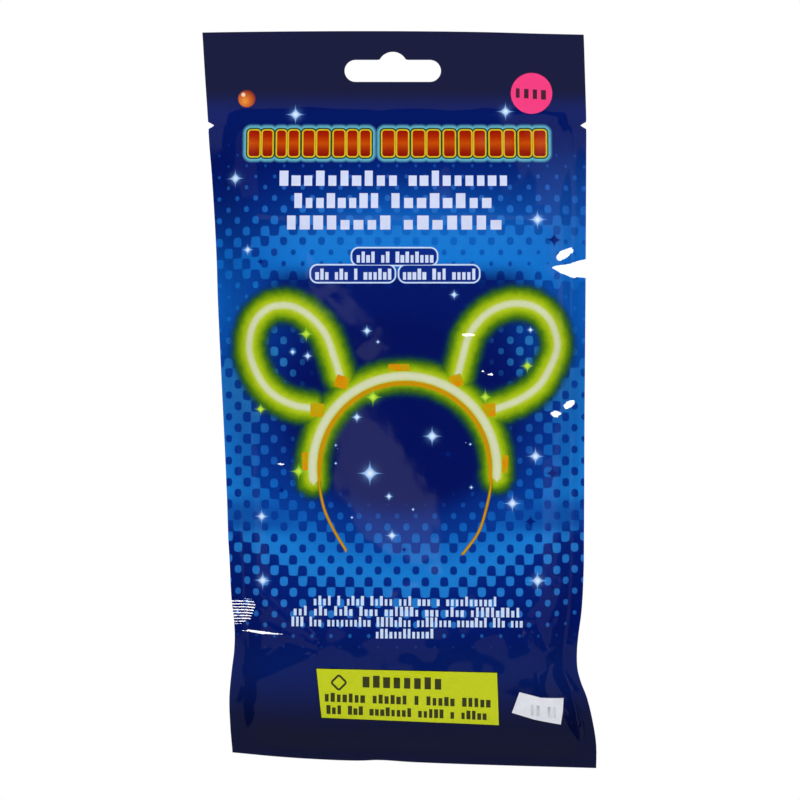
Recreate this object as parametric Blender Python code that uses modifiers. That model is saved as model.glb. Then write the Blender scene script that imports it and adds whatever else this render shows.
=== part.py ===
"""Hanging retail pouch that holds a glow-stick hair hoop kit.

Frame: metres, +Z up, front of the pouch towards -Y.
Origin: the top of the peg bump in the hang slot, midway between the two films.
"""
import math

import bmesh
import bpy
import numpy as np
from mathutils import Matrix, Vector

MM = 0.001

# ---------------------------------------------------------------- dimensions
# pouch outline, (height, x) stations down each side edge, in mm
LEFT_EDGE = [(6.6, -63.8), (-22.7, -61.9), (-67.7, -59.1), (-103.5, -57.7), (-150.8, -55.5),
             (-183.7, -54.0), (-198.0, -53.0), (-207.6, -54.0), (-216.4, -54.8), (-240.0, -53.6)]
RIGHT_EDGE = [(6.6, 64.0), (-22.7, 64.9), (-83.4, 64.6), (-163.4, 64.1), (-187.2, 63.3),
              (-200.7, 61.8), (-206.9, 61.9), (-216.5, 65.2), (-227.0, 67.6), (-240.0, 68.3)]
TOP_EDGE = [(-64.0, 6.4), (2.0, 6.9), (64.0, 5.7)]              # (x, height)
BOTTOM_EDGE = [(-54.0, -234.8), (-20.0, -237.4), (20.0, -238.6), (68.3, -240.1)]

FILM = 0.5                 # modelled film thickness
SEAL_GAP = 0.3             # between the two films where they are welded
SIDE_SEAL = 5.0
BOTTOM_SEAL = 6.0
TOP_SEAL_Z = -17.7         # lower end of the flat header seal
TEAR_Z = -24.7             # height of the tear notches
TEAR_GAP = 0.3
NOTCH_DEPTH = 2.0
NOTCH_HALF = 1.05

FRONT_DEPTH = 6.6          # how far the front film stands out over the contents
BACK_DEPTH = 6.55
FRONT_RISE = 11.0          # distance from a seal over which the front film rises
BACK_RISE = 9.0
FRONT_TOP_RISE = 40.0

SLOT_W, SLOT_H = 32.3, 7.4     # hang slot
SLOT_TOP_Z = -2.7
BUMP_R = 5.0                   # round bump at the middle of the slot

DOT_X, DOT_Z, DOT_R = 46.3, -14.2, 7.2
LABEL_X0, LABEL_X1, LABEL_Z0, LABEL_Z1 = 41.0, 55.6, -223.0, -214.6

HOOP_X, HOOP_Z = 4.7, -181.0   # centre of the crown arc
HOOP_R = 46.1                  # to the middle of the band
HOOP_T = 1.8                   # band thickness
HOOP_W = 3.5                   # band width, front to back
HOOP_Y = -2.65
HOOP_END = 144.0               # angle of an arm's tip from the top of the crown
HOOP_OPEN = 0.17               # how far the arms open out by their tips

CLIP_GAP = 0.3
CLIP_WALL = 0.9
SOCKET_OD, SOCKET_ID = 6.4, 5.2
SOCKET_ANGLES = (32.0, 52.0)
SOCKET_TIP_R = 56.0
CLIP_ARC = (26.0, 58.0)
CENTRE_HALF = 7.0              # half angle of the centre clip

STICK_D, STICK_L = 5.0, 200.0
STICK_BORE = 3.6
STICK_TOP_Z = -25.6
STICK_Y = 3.35
STICK_X = (-9.6, -3.6, 15.4)
AMPOULE_D, AMPOULE_L = 2.4, 168.0
PLUG_L = 5.0

# ---------------------------------------------------------------- clean start
for ob in list(bpy.data.objects):
    bpy.data.objects.remove(ob, do_unlink=True)


def collection(name):
    col = bpy.data.collections.new(name)
    bpy.context.scene.collection.children.link(col)
    return col


PARTS = collection("hanging_kit_pouch")
CUTTERS = collection("cutters")


def material(name, colour, rough, metallic=0.0, alpha=1.0):
    mat = bpy.data.materials.new(name)
    mat.use_nodes = True
    bsdf = mat.node_tree.nodes["Principled BSDF"]
    bsdf.inputs["Base Color"].default_value = (*colour, 1.0)
    bsdf.inputs["Roughness"].default_value = rough
    bsdf.inputs["Metallic"].default_value = metallic
    bsdf.inputs["Alpha"].default_value = alpha
    return mat


def new_object(name, mesh, mat, col=PARTS):
    ob = bpy.data.objects.new(name, mesh)
    col.objects.link(ob)
    if mat is not None:
        mesh.materials.append(mat)
    return ob


def cutter(name, mesh):
    ob = bpy.data.objects.new(name, mesh)
    CUTTERS.objects.link(ob)
    ob.hide_render = True
    ob.display_type = 'WIRE'
    return ob


def boolean(ob, other, operation):
    mod = ob.modifiers.new(other.name, 'BOOLEAN')
    mod.object = other
    mod.operation = operation
    mod.solver = 'EXACT'
    return mod


# ---------------------------------------------------------------- pouch outline
def stations(table, value):
    """Smooth value of a station table, whose first column falls."""
    keys = np.array([row[0] for row in table], float)
    vals = np.array([row[1] for row in table], float)
    order = np.argsort(keys)
    keys, vals = keys[order], vals[order]
    slopes = np.gradient(vals, keys)
    value = float(np.clip(value, keys[0], keys[-1]))
    i = int(np.clip(np.searchsorted(keys, value) - 1, 0, len(keys) - 2))
    h = keys[i + 1] - keys[i]
    t = (value - keys[i]) / h
    return float(vals[i] * (2 * t**3 - 3 * t**2 + 1) + slopes[i] * h * (t**3 - 2 * t**2 + t)
                 + vals[i + 1] * (3 * t**2 - 2 * t**3) + slopes[i + 1] * h * (t**3 - t**2))


def edge_left(z):
    return stations(LEFT_EDGE, z)


def edge_right(z):
    return stations(RIGHT_EDGE, z)


def edge_top(x):
    return float(np.interp(x, [p[0] for p in TOP_EDGE], [p[1] for p in TOP_EDGE]))


def edge_bottom(x):
    return float(np.interp(x, [p[0] for p in BOTTOM_EDGE], [p[1] for p in BOTTOM_EDGE]))


def rise(distance, width):
    t = min(max(distance / width, 0.0), 1.0)
    return 1.0 - (1.0 - t) ** 2.2


def bulge(x, z, front):
    """How far a film stands off the seal plane, in mm."""
    width = FRONT_RISE if front else BACK_RISE
    side = min(x - edge_left(z), edge_right(z) - x) - SIDE_SEAL
    low = (z - edge_bottom(x)) - BOTTOM_SEAL
    value = rise(side, width) * rise(low, width)
    top = TOP_SEAL_Z - z
    if front:
        t = min(max(top / FRONT_TOP_RISE, 0.0), 1.0)
        value *= t * t * (3 - 2 * t)
        return FRONT_DEPTH * value
    return BACK_DEPTH * value * rise(top, width)


def film_y(x, z, front, lift=0.0):
    """Outer face of a film, in mm, lifted by a clearance."""
    stand = SEAL_GAP / 2 + FILM + bulge(x, z, front) + lift
    return -stand if front else stand


def columns():
    """Fractions across the pouch: fine at the side seals, coarse between."""
    near = [0.0, 0.02, 0.04, 0.052, 0.066, 0.084, 0.106, 0.135, 0.175, 0.225]
    mid = [0.29, 0.36, 0.43]
    half = near + mid
    return half + [0.5] + [1.0 - s for s in reversed(half)]


def rows_header():
    return [0.0, 0.2, 0.4, 0.58, 0.70, 0.775, 0.83, 0.885, 0.94, 1.0]


def rows_pocket():
    top = [0.0, 0.006, 0.014, 0.025, 0.045, 0.07, 0.10, 0.13, 0.16]
    mid = list(np.linspace(0.2, 0.88, 13))
    low = [0.905, 0.925, 0.94, 0.953, 0.962, 0.97, 0.985, 1.0]
    return top + mid + low


def film(name, mat, front, upper):
    """One web of the pouch between its edge and the tear line."""
    cols, rows = columns(), (rows_header() if upper else rows_pocket())
    nx, nz = len(cols) - 1, len(rows) - 1
    bm = bmesh.new()
    bmesh.ops.create_grid(bm, x_segments=nx, y_segments=nz, size=0.5)
    for v in bm.verts:
        s = cols[int(round((v.co.x + 0.5) * nx))]
        t = rows[int(round((0.5 - v.co.y) * nz))]
        z = 0.0
        x = 0.0
        for _ in range(4):                      # x and z settle on the outline
            top = edge_top(x) if upper else TEAR_Z - TEAR_GAP / 2
            bottom = TEAR_Z + TEAR_GAP / 2 if upper else edge_bottom(x)
            z = top + (bottom - top) * t
            x = edge_left(z) + (edge_right(z) - edge_left(z)) * s
        v.co = Vector((x, film_y(x, z, front), z)) * MM
    bm.normal_update()
    want = -1.0 if front else 1.0
    if sum(f.normal.y * f.calc_area() for f in bm.faces) * want < 0:
        bmesh.ops.reverse_faces(bm, faces=bm.faces[:])
    mesh = bpy.data.meshes.new(name)
    bm.to_mesh(mesh)
    bm.free()
    ob = new_object(name, mesh, mat)
    solid = ob.modifiers.new("film", 'SOLIDIFY')
    solid.thickness = FILM * MM
    solid.offset = -1.0
    solid.use_even_offset = False
    mesh.shade_smooth()
    return ob


def prism(name, outline, y0, y1, mat=None, col=None):
    """Closed prism from a flat x-z outline in mm, between two depths."""
    curve = bpy.data.curves.new(name, 'CURVE')
    curve.dimensions = '2D'
    curve.fill_mode = 'BOTH'
    curve.extrude = abs(y1 - y0) / 2 * MM
    curve.resolution_u = 1
    curve.render_resolution_u = 0
    spline = curve.splines.new('POLY')
    spline.points.add(len(outline) - 1)
    for p, (x, z) in zip(spline.points, outline):
        p.co = (x * MM, z * MM, 0.0, 1.0)
    spline.use_cyclic_u = True
    holder = bpy.data.objects.new(name + "_outline", curve)
    bpy.context.scene.collection.objects.link(holder)
    # the outline is drawn in x-y, so it is stood up and moved to its depth
    holder.matrix_world = (Matrix.Translation((0, (y0 + y1) / 2 * MM, 0))
                           @ Matrix.Rotation(math.radians(90), 4, 'X'))
    bpy.context.view_layer.update()
    graph = bpy.context.evaluated_depsgraph_get()
    mesh = bpy.data.meshes.new_from_object(holder.evaluated_get(graph))
    mesh.transform(holder.matrix_world)
    bpy.data.objects.remove(holder, do_unlink=True)
    bm = bmesh.new()
    bm.from_mesh(mesh)
    bmesh.ops.remove_doubles(bm, verts=bm.verts[:], dist=1e-7)
    bmesh.ops.recalc_face_normals(bm, faces=bm.faces[:])
    bm.to_mesh(mesh)
    bm.free()
    mesh.name = name
    if col is CUTTERS:
        return cutter(name, mesh)
    return new_object(name, mesh, mat)


def cylinder_mesh(name, radius, length, centre, direction, segments=24):
    """Closed round bar along a direction, centred on a point, in mm."""
    bm = bmesh.new()
    bmesh.ops.create_cone(bm, cap_ends=True, segments=segments, radius1=radius * MM,
                          radius2=radius * MM, depth=length * MM)
    turn = Vector((0, 0, 1)).rotation_difference(Vector(direction)).to_matrix().to_4x4()
    bmesh.ops.transform(bm, matrix=Matrix.Translation(Vector(centre) * MM) @ turn, verts=bm.verts[:])
    mesh = bpy.data.meshes.new(name)
    bm.to_mesh(mesh)
    bm.free()
    return mesh


# ---------------------------------------------------------------- colours
front_print = material("printed_front_film", (0.01, 0.05, 0.24), 0.2)
front_print_low = material("printed_pocket_film", (0.01, 0.08, 0.32), 0.2)
back_print = material("back_film", (0.01, 0.04, 0.18), 0.22)
back_print_low = material("back_pocket_film", (0.01, 0.05, 0.2), 0.22)
dot_paper = material("pink_paper", (0.85, 0.03, 0.18), 0.45)
label_paper = material("white_paper", (0.85, 0.84, 0.82), 0.55)
amber = material("amber_plastic", (0.8, 0.3, 0.03), 0.35)
amber_clip = material("amber_clip_plastic", (0.85, 0.36, 0.05), 0.4)


def own(mat, name):
    copy = mat.copy()
    copy.name = name
    return copy


# ---------------------------------------------------------------- films
header_front = film("header_front_film", front_print, True, True)
header_back = film("header_back_film", back_print, False, True)
pocket_front = film("pocket_front_film", front_print_low, True, False)
pocket_back = film("pocket_back_film", back_print_low, False, False)

# hang slot: a long hole with round ends and a round bump at its top
slot_mid_z = SLOT_TOP_Z - SLOT_H / 2
end_r = SLOT_H / 2
half = SLOT_W / 2 - end_r
bump_z = -BUMP_R
meet = math.sqrt(max(BUMP_R**2 - (SLOT_TOP_Z - bump_z) ** 2, 0.0))
slot_outline = []
for k in range(13):
    a = math.radians(-90 + 15 * k)
    slot_outline.append((half + end_r * math.cos(a), slot_mid_z + end_r * math.sin(a)))
start = math.atan2(SLOT_TOP_Z - bump_z, meet)
for k in range(15):
    a = start + (math.pi - 2 * start) * k / 14
    slot_outline.append((BUMP_R * math.cos(a), bump_z + BUMP_R * math.sin(a)))
for k in range(13):
    a = math.radians(90 + 15 * k)
    slot_outline.append((-half + end_r * math.cos(a), slot_mid_z + end_r * math.sin(a)))
slot_cut = prism("hang_slot_cutter", slot_outline, -3.0, 3.0, col=CUTTERS)
for ob in (header_front, header_back):
    boolean(ob, slot_cut, 'DIFFERENCE')

# tear notches at both ends of the tear line
for side, edge in (("left", edge_left), ("right", edge_right)):
    e = edge(TEAR_Z)
    out = -1.0 if side == "left" else 1.0
    reach = 2.0
    wide = NOTCH_HALF * (NOTCH_DEPTH + reach) / NOTCH_DEPTH
    tri = [(e - out * NOTCH_DEPTH, TEAR_Z), (e + out * reach, TEAR_Z + wide), (e + out * reach, TEAR_Z - wide)]
    if out < 0:
        tri.reverse()
    notch = prism("notch_cutter_" + side, tri, -4.0, 4.0, col=CUTTERS)
    for ob in (header_front, header_back, pocket_front, pocket_back):
        boolean(ob, notch, 'DIFFERENCE')

# ---------------------------------------------------------------- stickers
dot_outline = [(DOT_X + DOT_R * math.cos(math.tau * k / 40), DOT_Z + DOT_R * math.sin(math.tau * k / 40))
               for k in range(40)]
prism("colour_dot_sticker", dot_outline, -1.4, -1.0, dot_paper)


def lifted_patch(name, x0, x1, z0, z1, lift, thick, mat, nx=8, nz=5):
    """A paper label that follows the front film, just clear of it."""
    bm = bmesh.new()
    bmesh.ops.create_grid(bm, x_segments=nx, y_segments=nz, size=0.5)
    for v in bm.verts:
        x = x0 + (x1 - x0) * (v.co.x + 0.5)
        z = z0 + (z1 - z0) * (v.co.y + 0.5)
        v.co = Vector((x, film_y(x, z, True, lift), z)) * MM
    bm.normal_update()
    if sum(f.normal.y for f in bm.faces) > 0:
        bmesh.ops.reverse_faces(bm, faces=bm.faces[:])
    mesh = bpy.data.meshes.new(name)
    bm.to_mesh(mesh)
    bm.free()
    ob = new_object(name, mesh, mat)
    solid = ob.modifiers.new("paper", 'SOLIDIFY')
    solid.thickness = thick * MM
    solid.offset = -1.0
    return ob


lifted_patch("price_sticker", LABEL_X0, LABEL_X1, LABEL_Z0, LABEL_Z1, 0.65, 0.3, label_paper)


# ---------------------------------------------------------------- hair hoop
def hoop_radius(angle):
    """Distance of the band's middle line from the crown centre, angle in degrees from the top."""
    past = max(abs(angle) - 90.0, 0.0) / (HOOP_END - 90.0)
    return HOOP_R * (1.0 + HOOP_OPEN * past * past)


def hoop_point(angle):
    r = hoop_radius(angle)
    a = math.radians(angle)
    return Vector((HOOP_X + r * math.sin(a), HOOP_Z + r * math.cos(a)))


def hoop_outline():
    outer, inner = [], []
    n = 56
    for k in range(n + 1):
        a = -HOOP_END + 2 * HOOP_END * k / n
        here = hoop_point(a)
        along = (hoop_point(a + 0.5) - hoop_point(a - 0.5)).normalized()
        out = Vector((-along.y, along.x))
        taper = min((HOOP_END - abs(a)) / 6.0, 1.0)          # the tips thin out
        t = HOOP_T / 2 * (0.55 + 0.45 * taper)
        outer.append(here + out * t)
        inner.append(here - out * t)
    return [tuple(p) for p in outer + inner[::-1]]


prism("hair_hoop", hoop_outline(), HOOP_Y - HOOP_W / 2, HOOP_Y + HOOP_W / 2, amber)


def arc_band(r0, r1, a0, a1, n=12):
    """Outline of a sector of a ring round the crown centre."""
    pts = []
    for k in range(n + 1):
        a = math.radians(a0 + (a1 - a0) * k / n)
        pts.append((HOOP_X + r1 * math.sin(a), HOOP_Z + r1 * math.cos(a)))
    for k in range(n, -1, -1):
        a = math.radians(a0 + (a1 - a0) * k / n)
        pts.append((HOOP_X + r0 * math.sin(a), HOOP_Z + r0 * math.cos(a)))
    return pts


OUTER_R = HOOP_R + HOOP_T / 2
INNER_R = HOOP_R - HOOP_T / 2
Y_FRONT = HOOP_Y - HOOP_W / 2 - CLIP_GAP
Y_BACK = HOOP_Y + HOOP_W / 2 + CLIP_GAP


def cut_channel(ob, name, a0, a1):
    """Room for the hoop's band, and the narrower snap opening under it."""
    channel = prism(name + "_channel", arc_band(INNER_R - CLIP_GAP, OUTER_R + CLIP_GAP, a0 - 4, a1 + 4, 16),
                    Y_FRONT, Y_BACK, col=CUTTERS)
    mouth = prism(name + "_mouth", arc_band(INNER_R - 6, INNER_R, a0 - 4, a1 + 4, 16),
                  Y_FRONT + 0.65, Y_BACK - 0.65, col=CUTTERS)
    boolean(ob, channel, 'DIFFERENCE')
    boolean(ob, mouth, 'DIFFERENCE')


def ear_connector(side, mat):
    """Snap saddle on the crown with two sockets for the ends of an ear loop."""
    sign = -1.0 if side == "left" else 1.0
    name = "ear_connector_" + side
    a0, a1 = sorted((sign * CLIP_ARC[0], sign * CLIP_ARC[1]))
    body = prism(name, arc_band(INNER_R - 1.0, OUTER_R + 1.6, a0, a1, 14),
                 Y_FRONT - CLIP_WALL, Y_BACK + CLIP_WALL, mat)
    for k, angle in enumerate(SOCKET_ANGLES):
        a = math.radians(sign * angle)
        direction = (math.sin(a), 0, math.cos(a))
        r0, r1 = OUTER_R + 0.6, SOCKET_TIP_R
        mid = (r0 + r1) / 2
        post = cutter("%s_post_%d" % (name, k),
                      cylinder_mesh("post", SOCKET_OD / 2, r1 - r0,
                                    (HOOP_X + mid * direction[0], HOOP_Y, HOOP_Z + mid * direction[2]), direction))
        boolean(body, post, 'UNION')
    for k, angle in enumerate(SOCKET_ANGLES):
        a = math.radians(sign * angle)
        direction = (math.sin(a), 0, math.cos(a))
        r0, r1 = OUTER_R + 1.9, SOCKET_TIP_R + 2.0
        mid = (r0 + r1) / 2
        bore = cutter("%s_bore_%d" % (name, k),
                      cylinder_mesh("bore", SOCKET_ID / 2, r1 - r0,
                                    (HOOP_X + mid * direction[0], HOOP_Y, HOOP_Z + mid * direction[2]), direction))
        boolean(body, bore, 'DIFFERENCE')
    cut_channel(body, name, a0, a1)
    return body


left = ear_connector("left", own(amber_clip, "amber_clip_left"))
right = ear_connector("right", own(amber_clip, "amber_clip_right"))

# centre clip: a saddle on the crown with an open cradle above it
centre = prism("centre_clip", arc_band(INNER_R - 1.0, OUTER_R + 6.2, -CENTRE_HALF, CENTRE_HALF, 8),
               HOOP_Y - 3.2, HOOP_Y + 3.2, amber_clip)
cut_channel(centre, "centre_clip", -CENTRE_HALF, CENTRE_HALF)
cradle = cutter("centre_clip_cradle",
                cylinder_mesh("cradle", SOCKET_ID / 2, 24.0,
                              (HOOP_X, HOOP_Y, HOOP_Z + OUTER_R + 4.5), (1, 0, 0)))
boolean(centre, cradle, 'DIFFERENCE')


# ---------------------------------------------------------------- glow sticks
def tube_profile():
    """Half section of the outer tube, down its outer side and up its bore."""
    ro, rb, top, low = STICK_D / 2, STICK_BORE / 2, STICK_TOP_Z, STICK_TOP_Z - STICK_L
    return [(rb, top), (ro - 0.3, top), (ro, top - 0.4), (ro, low + 1.5), (ro - 0.5, low + 0.5),
            (ro - 1.3, low), (0.0, low), (0.0, low + 3.0), (rb - 0.6, low + 3.4), (rb, low + 4.4)]


def turned(name, profile, x, y, mat, closed, steps=20):
    """A profile turned about a vertical axis at x, y."""
    mesh = bpy.data.meshes.new(name)
    verts = [(r * MM, 0.0, z * MM) for r, z in profile]
    edges = [(i, i + 1) for i in range(len(profile) - 1)]
    if closed:
        edges.append((len(profile) - 1, 0))
    mesh.from_pydata(verts, edges, [])
    ob = new_object(name, mesh, mat)
    ob.location = (x * MM, y * MM, 0.0)
    screw = ob.modifiers.new("turn", 'SCREW')
    screw.axis = 'Z'
    screw.steps = steps
    screw.render_steps = steps
    screw.use_merge_vertices = True
    screw.merge_threshold = 0.000005
    screw.use_normal_calculate = True
    screw.use_smooth_shade = True
    return ob


def tube(name, x, mat):
    """Outer tube: a turned bar with a blind bore, open at the top."""
    ro, rb, top, low = STICK_D / 2, STICK_BORE / 2, STICK_TOP_Z, STICK_TOP_Z - STICK_L
    outer = [(0.0, top), (ro - 0.3, top), (ro, top - 0.4), (ro, low + 1.5), (ro - 0.5, low + 0.5),
             (ro - 1.3, low), (0.0, low)]
    body = turned(name, outer, x, STICK_Y, mat, closed=False)
    bore_mesh = cylinder_mesh(name + "_bore", rb, STICK_L - 3.0 + 2.0,
                              (x, STICK_Y, top + 2.0 - (STICK_L - 3.0 + 2.0) / 2), (0, 0, 1), 20)
    boolean(body, cutter(name + "_bore", bore_mesh), 'DIFFERENCE')
    return body


for k, x in enumerate(STICK_X, 1):
    tube("stick_%d_tube" % k, x, material("pink_tube_%d" % k, (0.85, 0.12, 0.35), 0.25))
    low = STICK_TOP_Z - STICK_L + 3.0 + 2.0
    ra = AMPOULE_D / 2
    turned("stick_%d_ampoule" % k,
           [(0.0, low + AMPOULE_L), (ra * 0.7, low + AMPOULE_L - 0.4), (ra, low + AMPOULE_L - 1.4),
            (ra, low + 1.4), (ra * 0.7, low + 0.4), (0.0, low)],
           x, STICK_Y, material("ampoule_glass_%d" % k, (0.9, 0.75, 0.8), 0.08, alpha=0.5), closed=False, steps=12)
    rp = STICK_BORE / 2 - 0.3
    top = STICK_TOP_Z - 0.4
    turned("stick_%d_plug" % k,
           [(0.0, top), (rp - 0.2, top), (rp, top - 0.3), (rp, top - PLUG_L + 0.8), (rp - 0.4, top - PLUG_L),
            (0.0, top - PLUG_L)],
           x, STICK_Y, material("plug_plastic_%d" % k, (0.9, 0.55, 0.65), 0.35), closed=False, steps=16)

for ob in PARTS.objects:
    if ob.type == 'MESH':
        ob.data.shade_smooth()
        ob.data.set_sharp_from_angle(angle=math.radians(35))
bpy.context.view_layer.update()
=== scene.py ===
"""Looks of the hanging film pouch with the glow-stick hoop kit in it.

Lengths are in millimetres until a mesh is written. The printed artwork is laid out on a grid of
three units to the millimetre, whose corner is up and left of the pouch: A(x, y) turns a place on
that grid into millimetres in the row frame.
"""
import math

import bmesh
import bpy
import numpy as np
from mathutils import Matrix, Vector
from mathutils.geometry import delaunay_2d_cdt


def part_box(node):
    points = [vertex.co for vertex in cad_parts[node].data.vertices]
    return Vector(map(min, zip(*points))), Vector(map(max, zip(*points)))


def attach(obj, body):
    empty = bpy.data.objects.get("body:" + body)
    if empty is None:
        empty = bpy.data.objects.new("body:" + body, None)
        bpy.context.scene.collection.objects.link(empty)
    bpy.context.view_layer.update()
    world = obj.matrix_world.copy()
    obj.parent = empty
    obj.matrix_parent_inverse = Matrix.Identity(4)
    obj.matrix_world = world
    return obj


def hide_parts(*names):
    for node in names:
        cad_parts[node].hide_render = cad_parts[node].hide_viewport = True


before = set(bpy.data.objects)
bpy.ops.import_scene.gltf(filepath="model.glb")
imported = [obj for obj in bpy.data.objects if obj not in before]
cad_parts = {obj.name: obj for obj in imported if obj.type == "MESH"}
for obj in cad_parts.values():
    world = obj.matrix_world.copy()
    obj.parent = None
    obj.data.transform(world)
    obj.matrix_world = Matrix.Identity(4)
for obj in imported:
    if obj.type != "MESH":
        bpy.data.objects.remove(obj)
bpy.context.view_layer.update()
MM = 0.001


def A(x, y):
    return (x - 392.7) / 3.0, (49.8 - y) / 3.0


def AX(x):
    return (x - 392.7) / 3.0


def AZ(y):
    return (49.8 - y) / 3.0


# =============================================================== camera, floor, light
scene = bpy.context.scene
cam_data = bpy.data.cameras.new("camera")
cam_data.lens = 100.0
cam_data.sensor_width = 36.0
cam_data.clip_end = 20.0
camera = bpy.data.objects.new("camera", cam_data)
scene.collection.objects.link(camera)
camera.location = (0.00243, -0.7408 - 0.004, -0.1167)
camera.rotation_euler = (math.radians(90), 0, 0)
scene.camera = camera
scene.view_settings.view_transform = 'Standard'
scene.view_settings.look = 'None'


def link(ob):
    scene.collection.objects.link(ob)
    return ob


def mesh_object(name, verts, faces, smooth=True):
    mesh = bpy.data.meshes.new(name)
    mesh.from_pydata([tuple(v) for v in verts], [], faces)
    mesh.update()
    if smooth:
        mesh.shade_smooth()
    return link(bpy.data.objects.new(name, mesh))


# =============================================================== node maths in short form
class Net:
    """Writes shader nodes from plain expressions."""

    def __init__(self, name):
        self.mat = bpy.data.materials.new(name)
        self.mat.use_nodes = True
        self.nt = self.mat.node_tree
        self.bsdf = self.nt.nodes["Principled BSDF"]
        self.count = 0

    def node(self, kind, **props):
        n = self.nt.nodes.new(kind)
        n.location = (-300 - 180 * (self.count % 12), 300 - 160 * (self.count // 12))
        self.count += 1
        for k, v in props.items():
            setattr(n, k, v)
        return n

    def put(self, socket, value):
        if isinstance(value, E):
            self.nt.links.new(value.s, socket)
        elif isinstance(value, bpy.types.NodeSocket):
            self.nt.links.new(value, socket)
        elif isinstance(value, (tuple, list)):
            socket.default_value = (*value, 1.0) if len(socket.default_value) == 4 and len(value) == 3 else value
        else:
            socket.default_value = value

    def math(self, op, a, b=None, c=None, clamp=False):
        n = self.node("ShaderNodeMath", operation=op, use_clamp=clamp)
        for i, v in enumerate((a, b, c)):
            if v is not None:
                self.put(n.inputs[i], v)
        return E(self, n.outputs[0])

    def attr(self, name):
        return self.node("ShaderNodeAttribute", attribute_type='GEOMETRY', attribute_name=name)

    def value(self, name):
        return E(self, self.attr(name).outputs["Fac"])

    def xyz(self, name):
        n = self.node("ShaderNodeSeparateXYZ")
        self.nt.links.new(self.attr(name).outputs["Vector"], n.inputs[0])
        return [E(self, o) for o in n.outputs]

    def rgba(self, name):
        a = self.attr(name)
        n = self.node("ShaderNodeSeparateColor")
        self.nt.links.new(a.outputs["Color"], n.inputs[0])
        return [E(self, o) for o in n.outputs] + [E(self, a.outputs["Alpha"])]

    def step(self, x, lo, hi, smooth=True):
        """0 at lo to 1 at hi."""
        flip = lo > hi
        n = self.node("ShaderNodeMapRange", interpolation_type='SMOOTHSTEP' if smooth else 'LINEAR', clamp=True)
        self.put(n.inputs["Value"], x)
        n.inputs["From Min"].default_value = min(lo, hi)
        n.inputs["From Max"].default_value = max(lo, hi)
        n.inputs["To Min"].default_value = 1.0 if flip else 0.0
        n.inputs["To Max"].default_value = 0.0 if flip else 1.0
        return E(self, n.outputs["Result"])

    def mix(self, fac, a, b, blend='MIX'):
        n = self.node("ShaderNodeMix", data_type='RGBA', blend_type=blend)
        n.clamp_factor = True
        self.put(n.inputs[0], fac)
        self.put(n.inputs[6], a)
        self.put(n.inputs[7], b)
        return n.outputs[2]

    def ramp(self, fac, stops, mode='LINEAR'):
        n = self.node("ShaderNodeValToRGB")
        n.color_ramp.interpolation = mode
        el = n.color_ramp.elements
        while len(el) > 1:
            el.remove(el[-1])
        el[0].position = stops[0][0]
        el[0].color = _rgba(stops[0][1])
        for pos, col in stops[1:]:
            e = el.new(pos)
            e.color = _rgba(col)
        self.put(n.inputs["Fac"], fac)
        return n.outputs["Color"]

    def rampv(self, fac, stops, mode='LINEAR'):
        n = self.node("ShaderNodeSeparateColor")
        self.nt.links.new(self.ramp(fac, [(p, (v, v, v)) for p, v in stops], mode), n.inputs[0])
        return E(self, n.outputs[0])

    def noise(self, scale, detail=3.0, rough=0.5, vector=None, distortion=0.0):
        n = self.node("ShaderNodeTexNoise")
        n.inputs["Scale"].default_value = scale
        n.inputs["Detail"].default_value = detail
        n.inputs["Roughness"].default_value = rough
        n.inputs["Distortion"].default_value = distortion
        if vector is not None:
            self.nt.links.new(vector, n.inputs["Vector"])
        return E(self, n.outputs["Fac"])

    def object_coords(self):
        return self.node("ShaderNodeTexCoord").outputs["Object"]

    def vec(self, x, y, z=0.0):
        n = self.node("ShaderNodeCombineXYZ")
        for s, v in zip(n.inputs, (x, y, z)):
            self.put(s, v)
        return n.outputs[0]

    def bump(self, height, strength, distance, normal=None):
        n = self.node("ShaderNodeBump")
        n.inputs["Strength"].default_value = strength
        n.inputs["Distance"].default_value = distance
        self.put(n.inputs["Height"], height)
        if normal is not None:
            self.nt.links.new(normal, n.inputs["Normal"])
        return n.outputs["Normal"]


def _rgba(c):
    return (*c, 1.0) if len(c) == 3 else c


class E:
    def __init__(self, net, socket):
        self.n, self.s = net, socket

    def __add__(self, o): return self.n.math('ADD', self, o)
    __radd__ = __add__
    def __sub__(self, o): return self.n.math('SUBTRACT', self, o)
    def __rsub__(self, o): return self.n.math('SUBTRACT', o, self)
    def __mul__(self, o): return self.n.math('MULTIPLY', self, o)
    __rmul__ = __mul__
    def __truediv__(self, o): return self.n.math('DIVIDE', self, o)
    def __neg__(self): return self.n.math('MULTIPLY', self, -1.0)
    def __abs__(self): return self.n.math('ABSOLUTE', self)
    def __lt__(self, o): return self.n.math('LESS_THAN', self, o)
    def __gt__(self, o): return self.n.math('GREATER_THAN', self, o)
    def min(self, o): return self.n.math('MINIMUM', self, o)
    def max(self, o): return self.n.math('MAXIMUM', self, o)
    def pow(self, o): return self.n.math('POWER', self, o)
    def cos(self): return self.n.math('COSINE', self)
    def sqrt(self): return self.n.math('SQRT', self)
    def floor(self): return self.n.math('FLOOR', self)
    def fract(self): return self.n.math('FRACT', self)
    def sat(self): return self.n.math('ADD', self, 0.0, clamp=True)


def hyp(a, b):
    return (a * a + b * b).sqrt()


def srgb(r, g, b):
    """Linear colour from 0-255 display values."""
    out = []
    for c in (r, g, b):
        c = c / 255.0
        out.append(c / 12.92 if c <= 0.04045 else ((c + 0.055) / 1.055) ** 2.4)
    return tuple(out)


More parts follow.
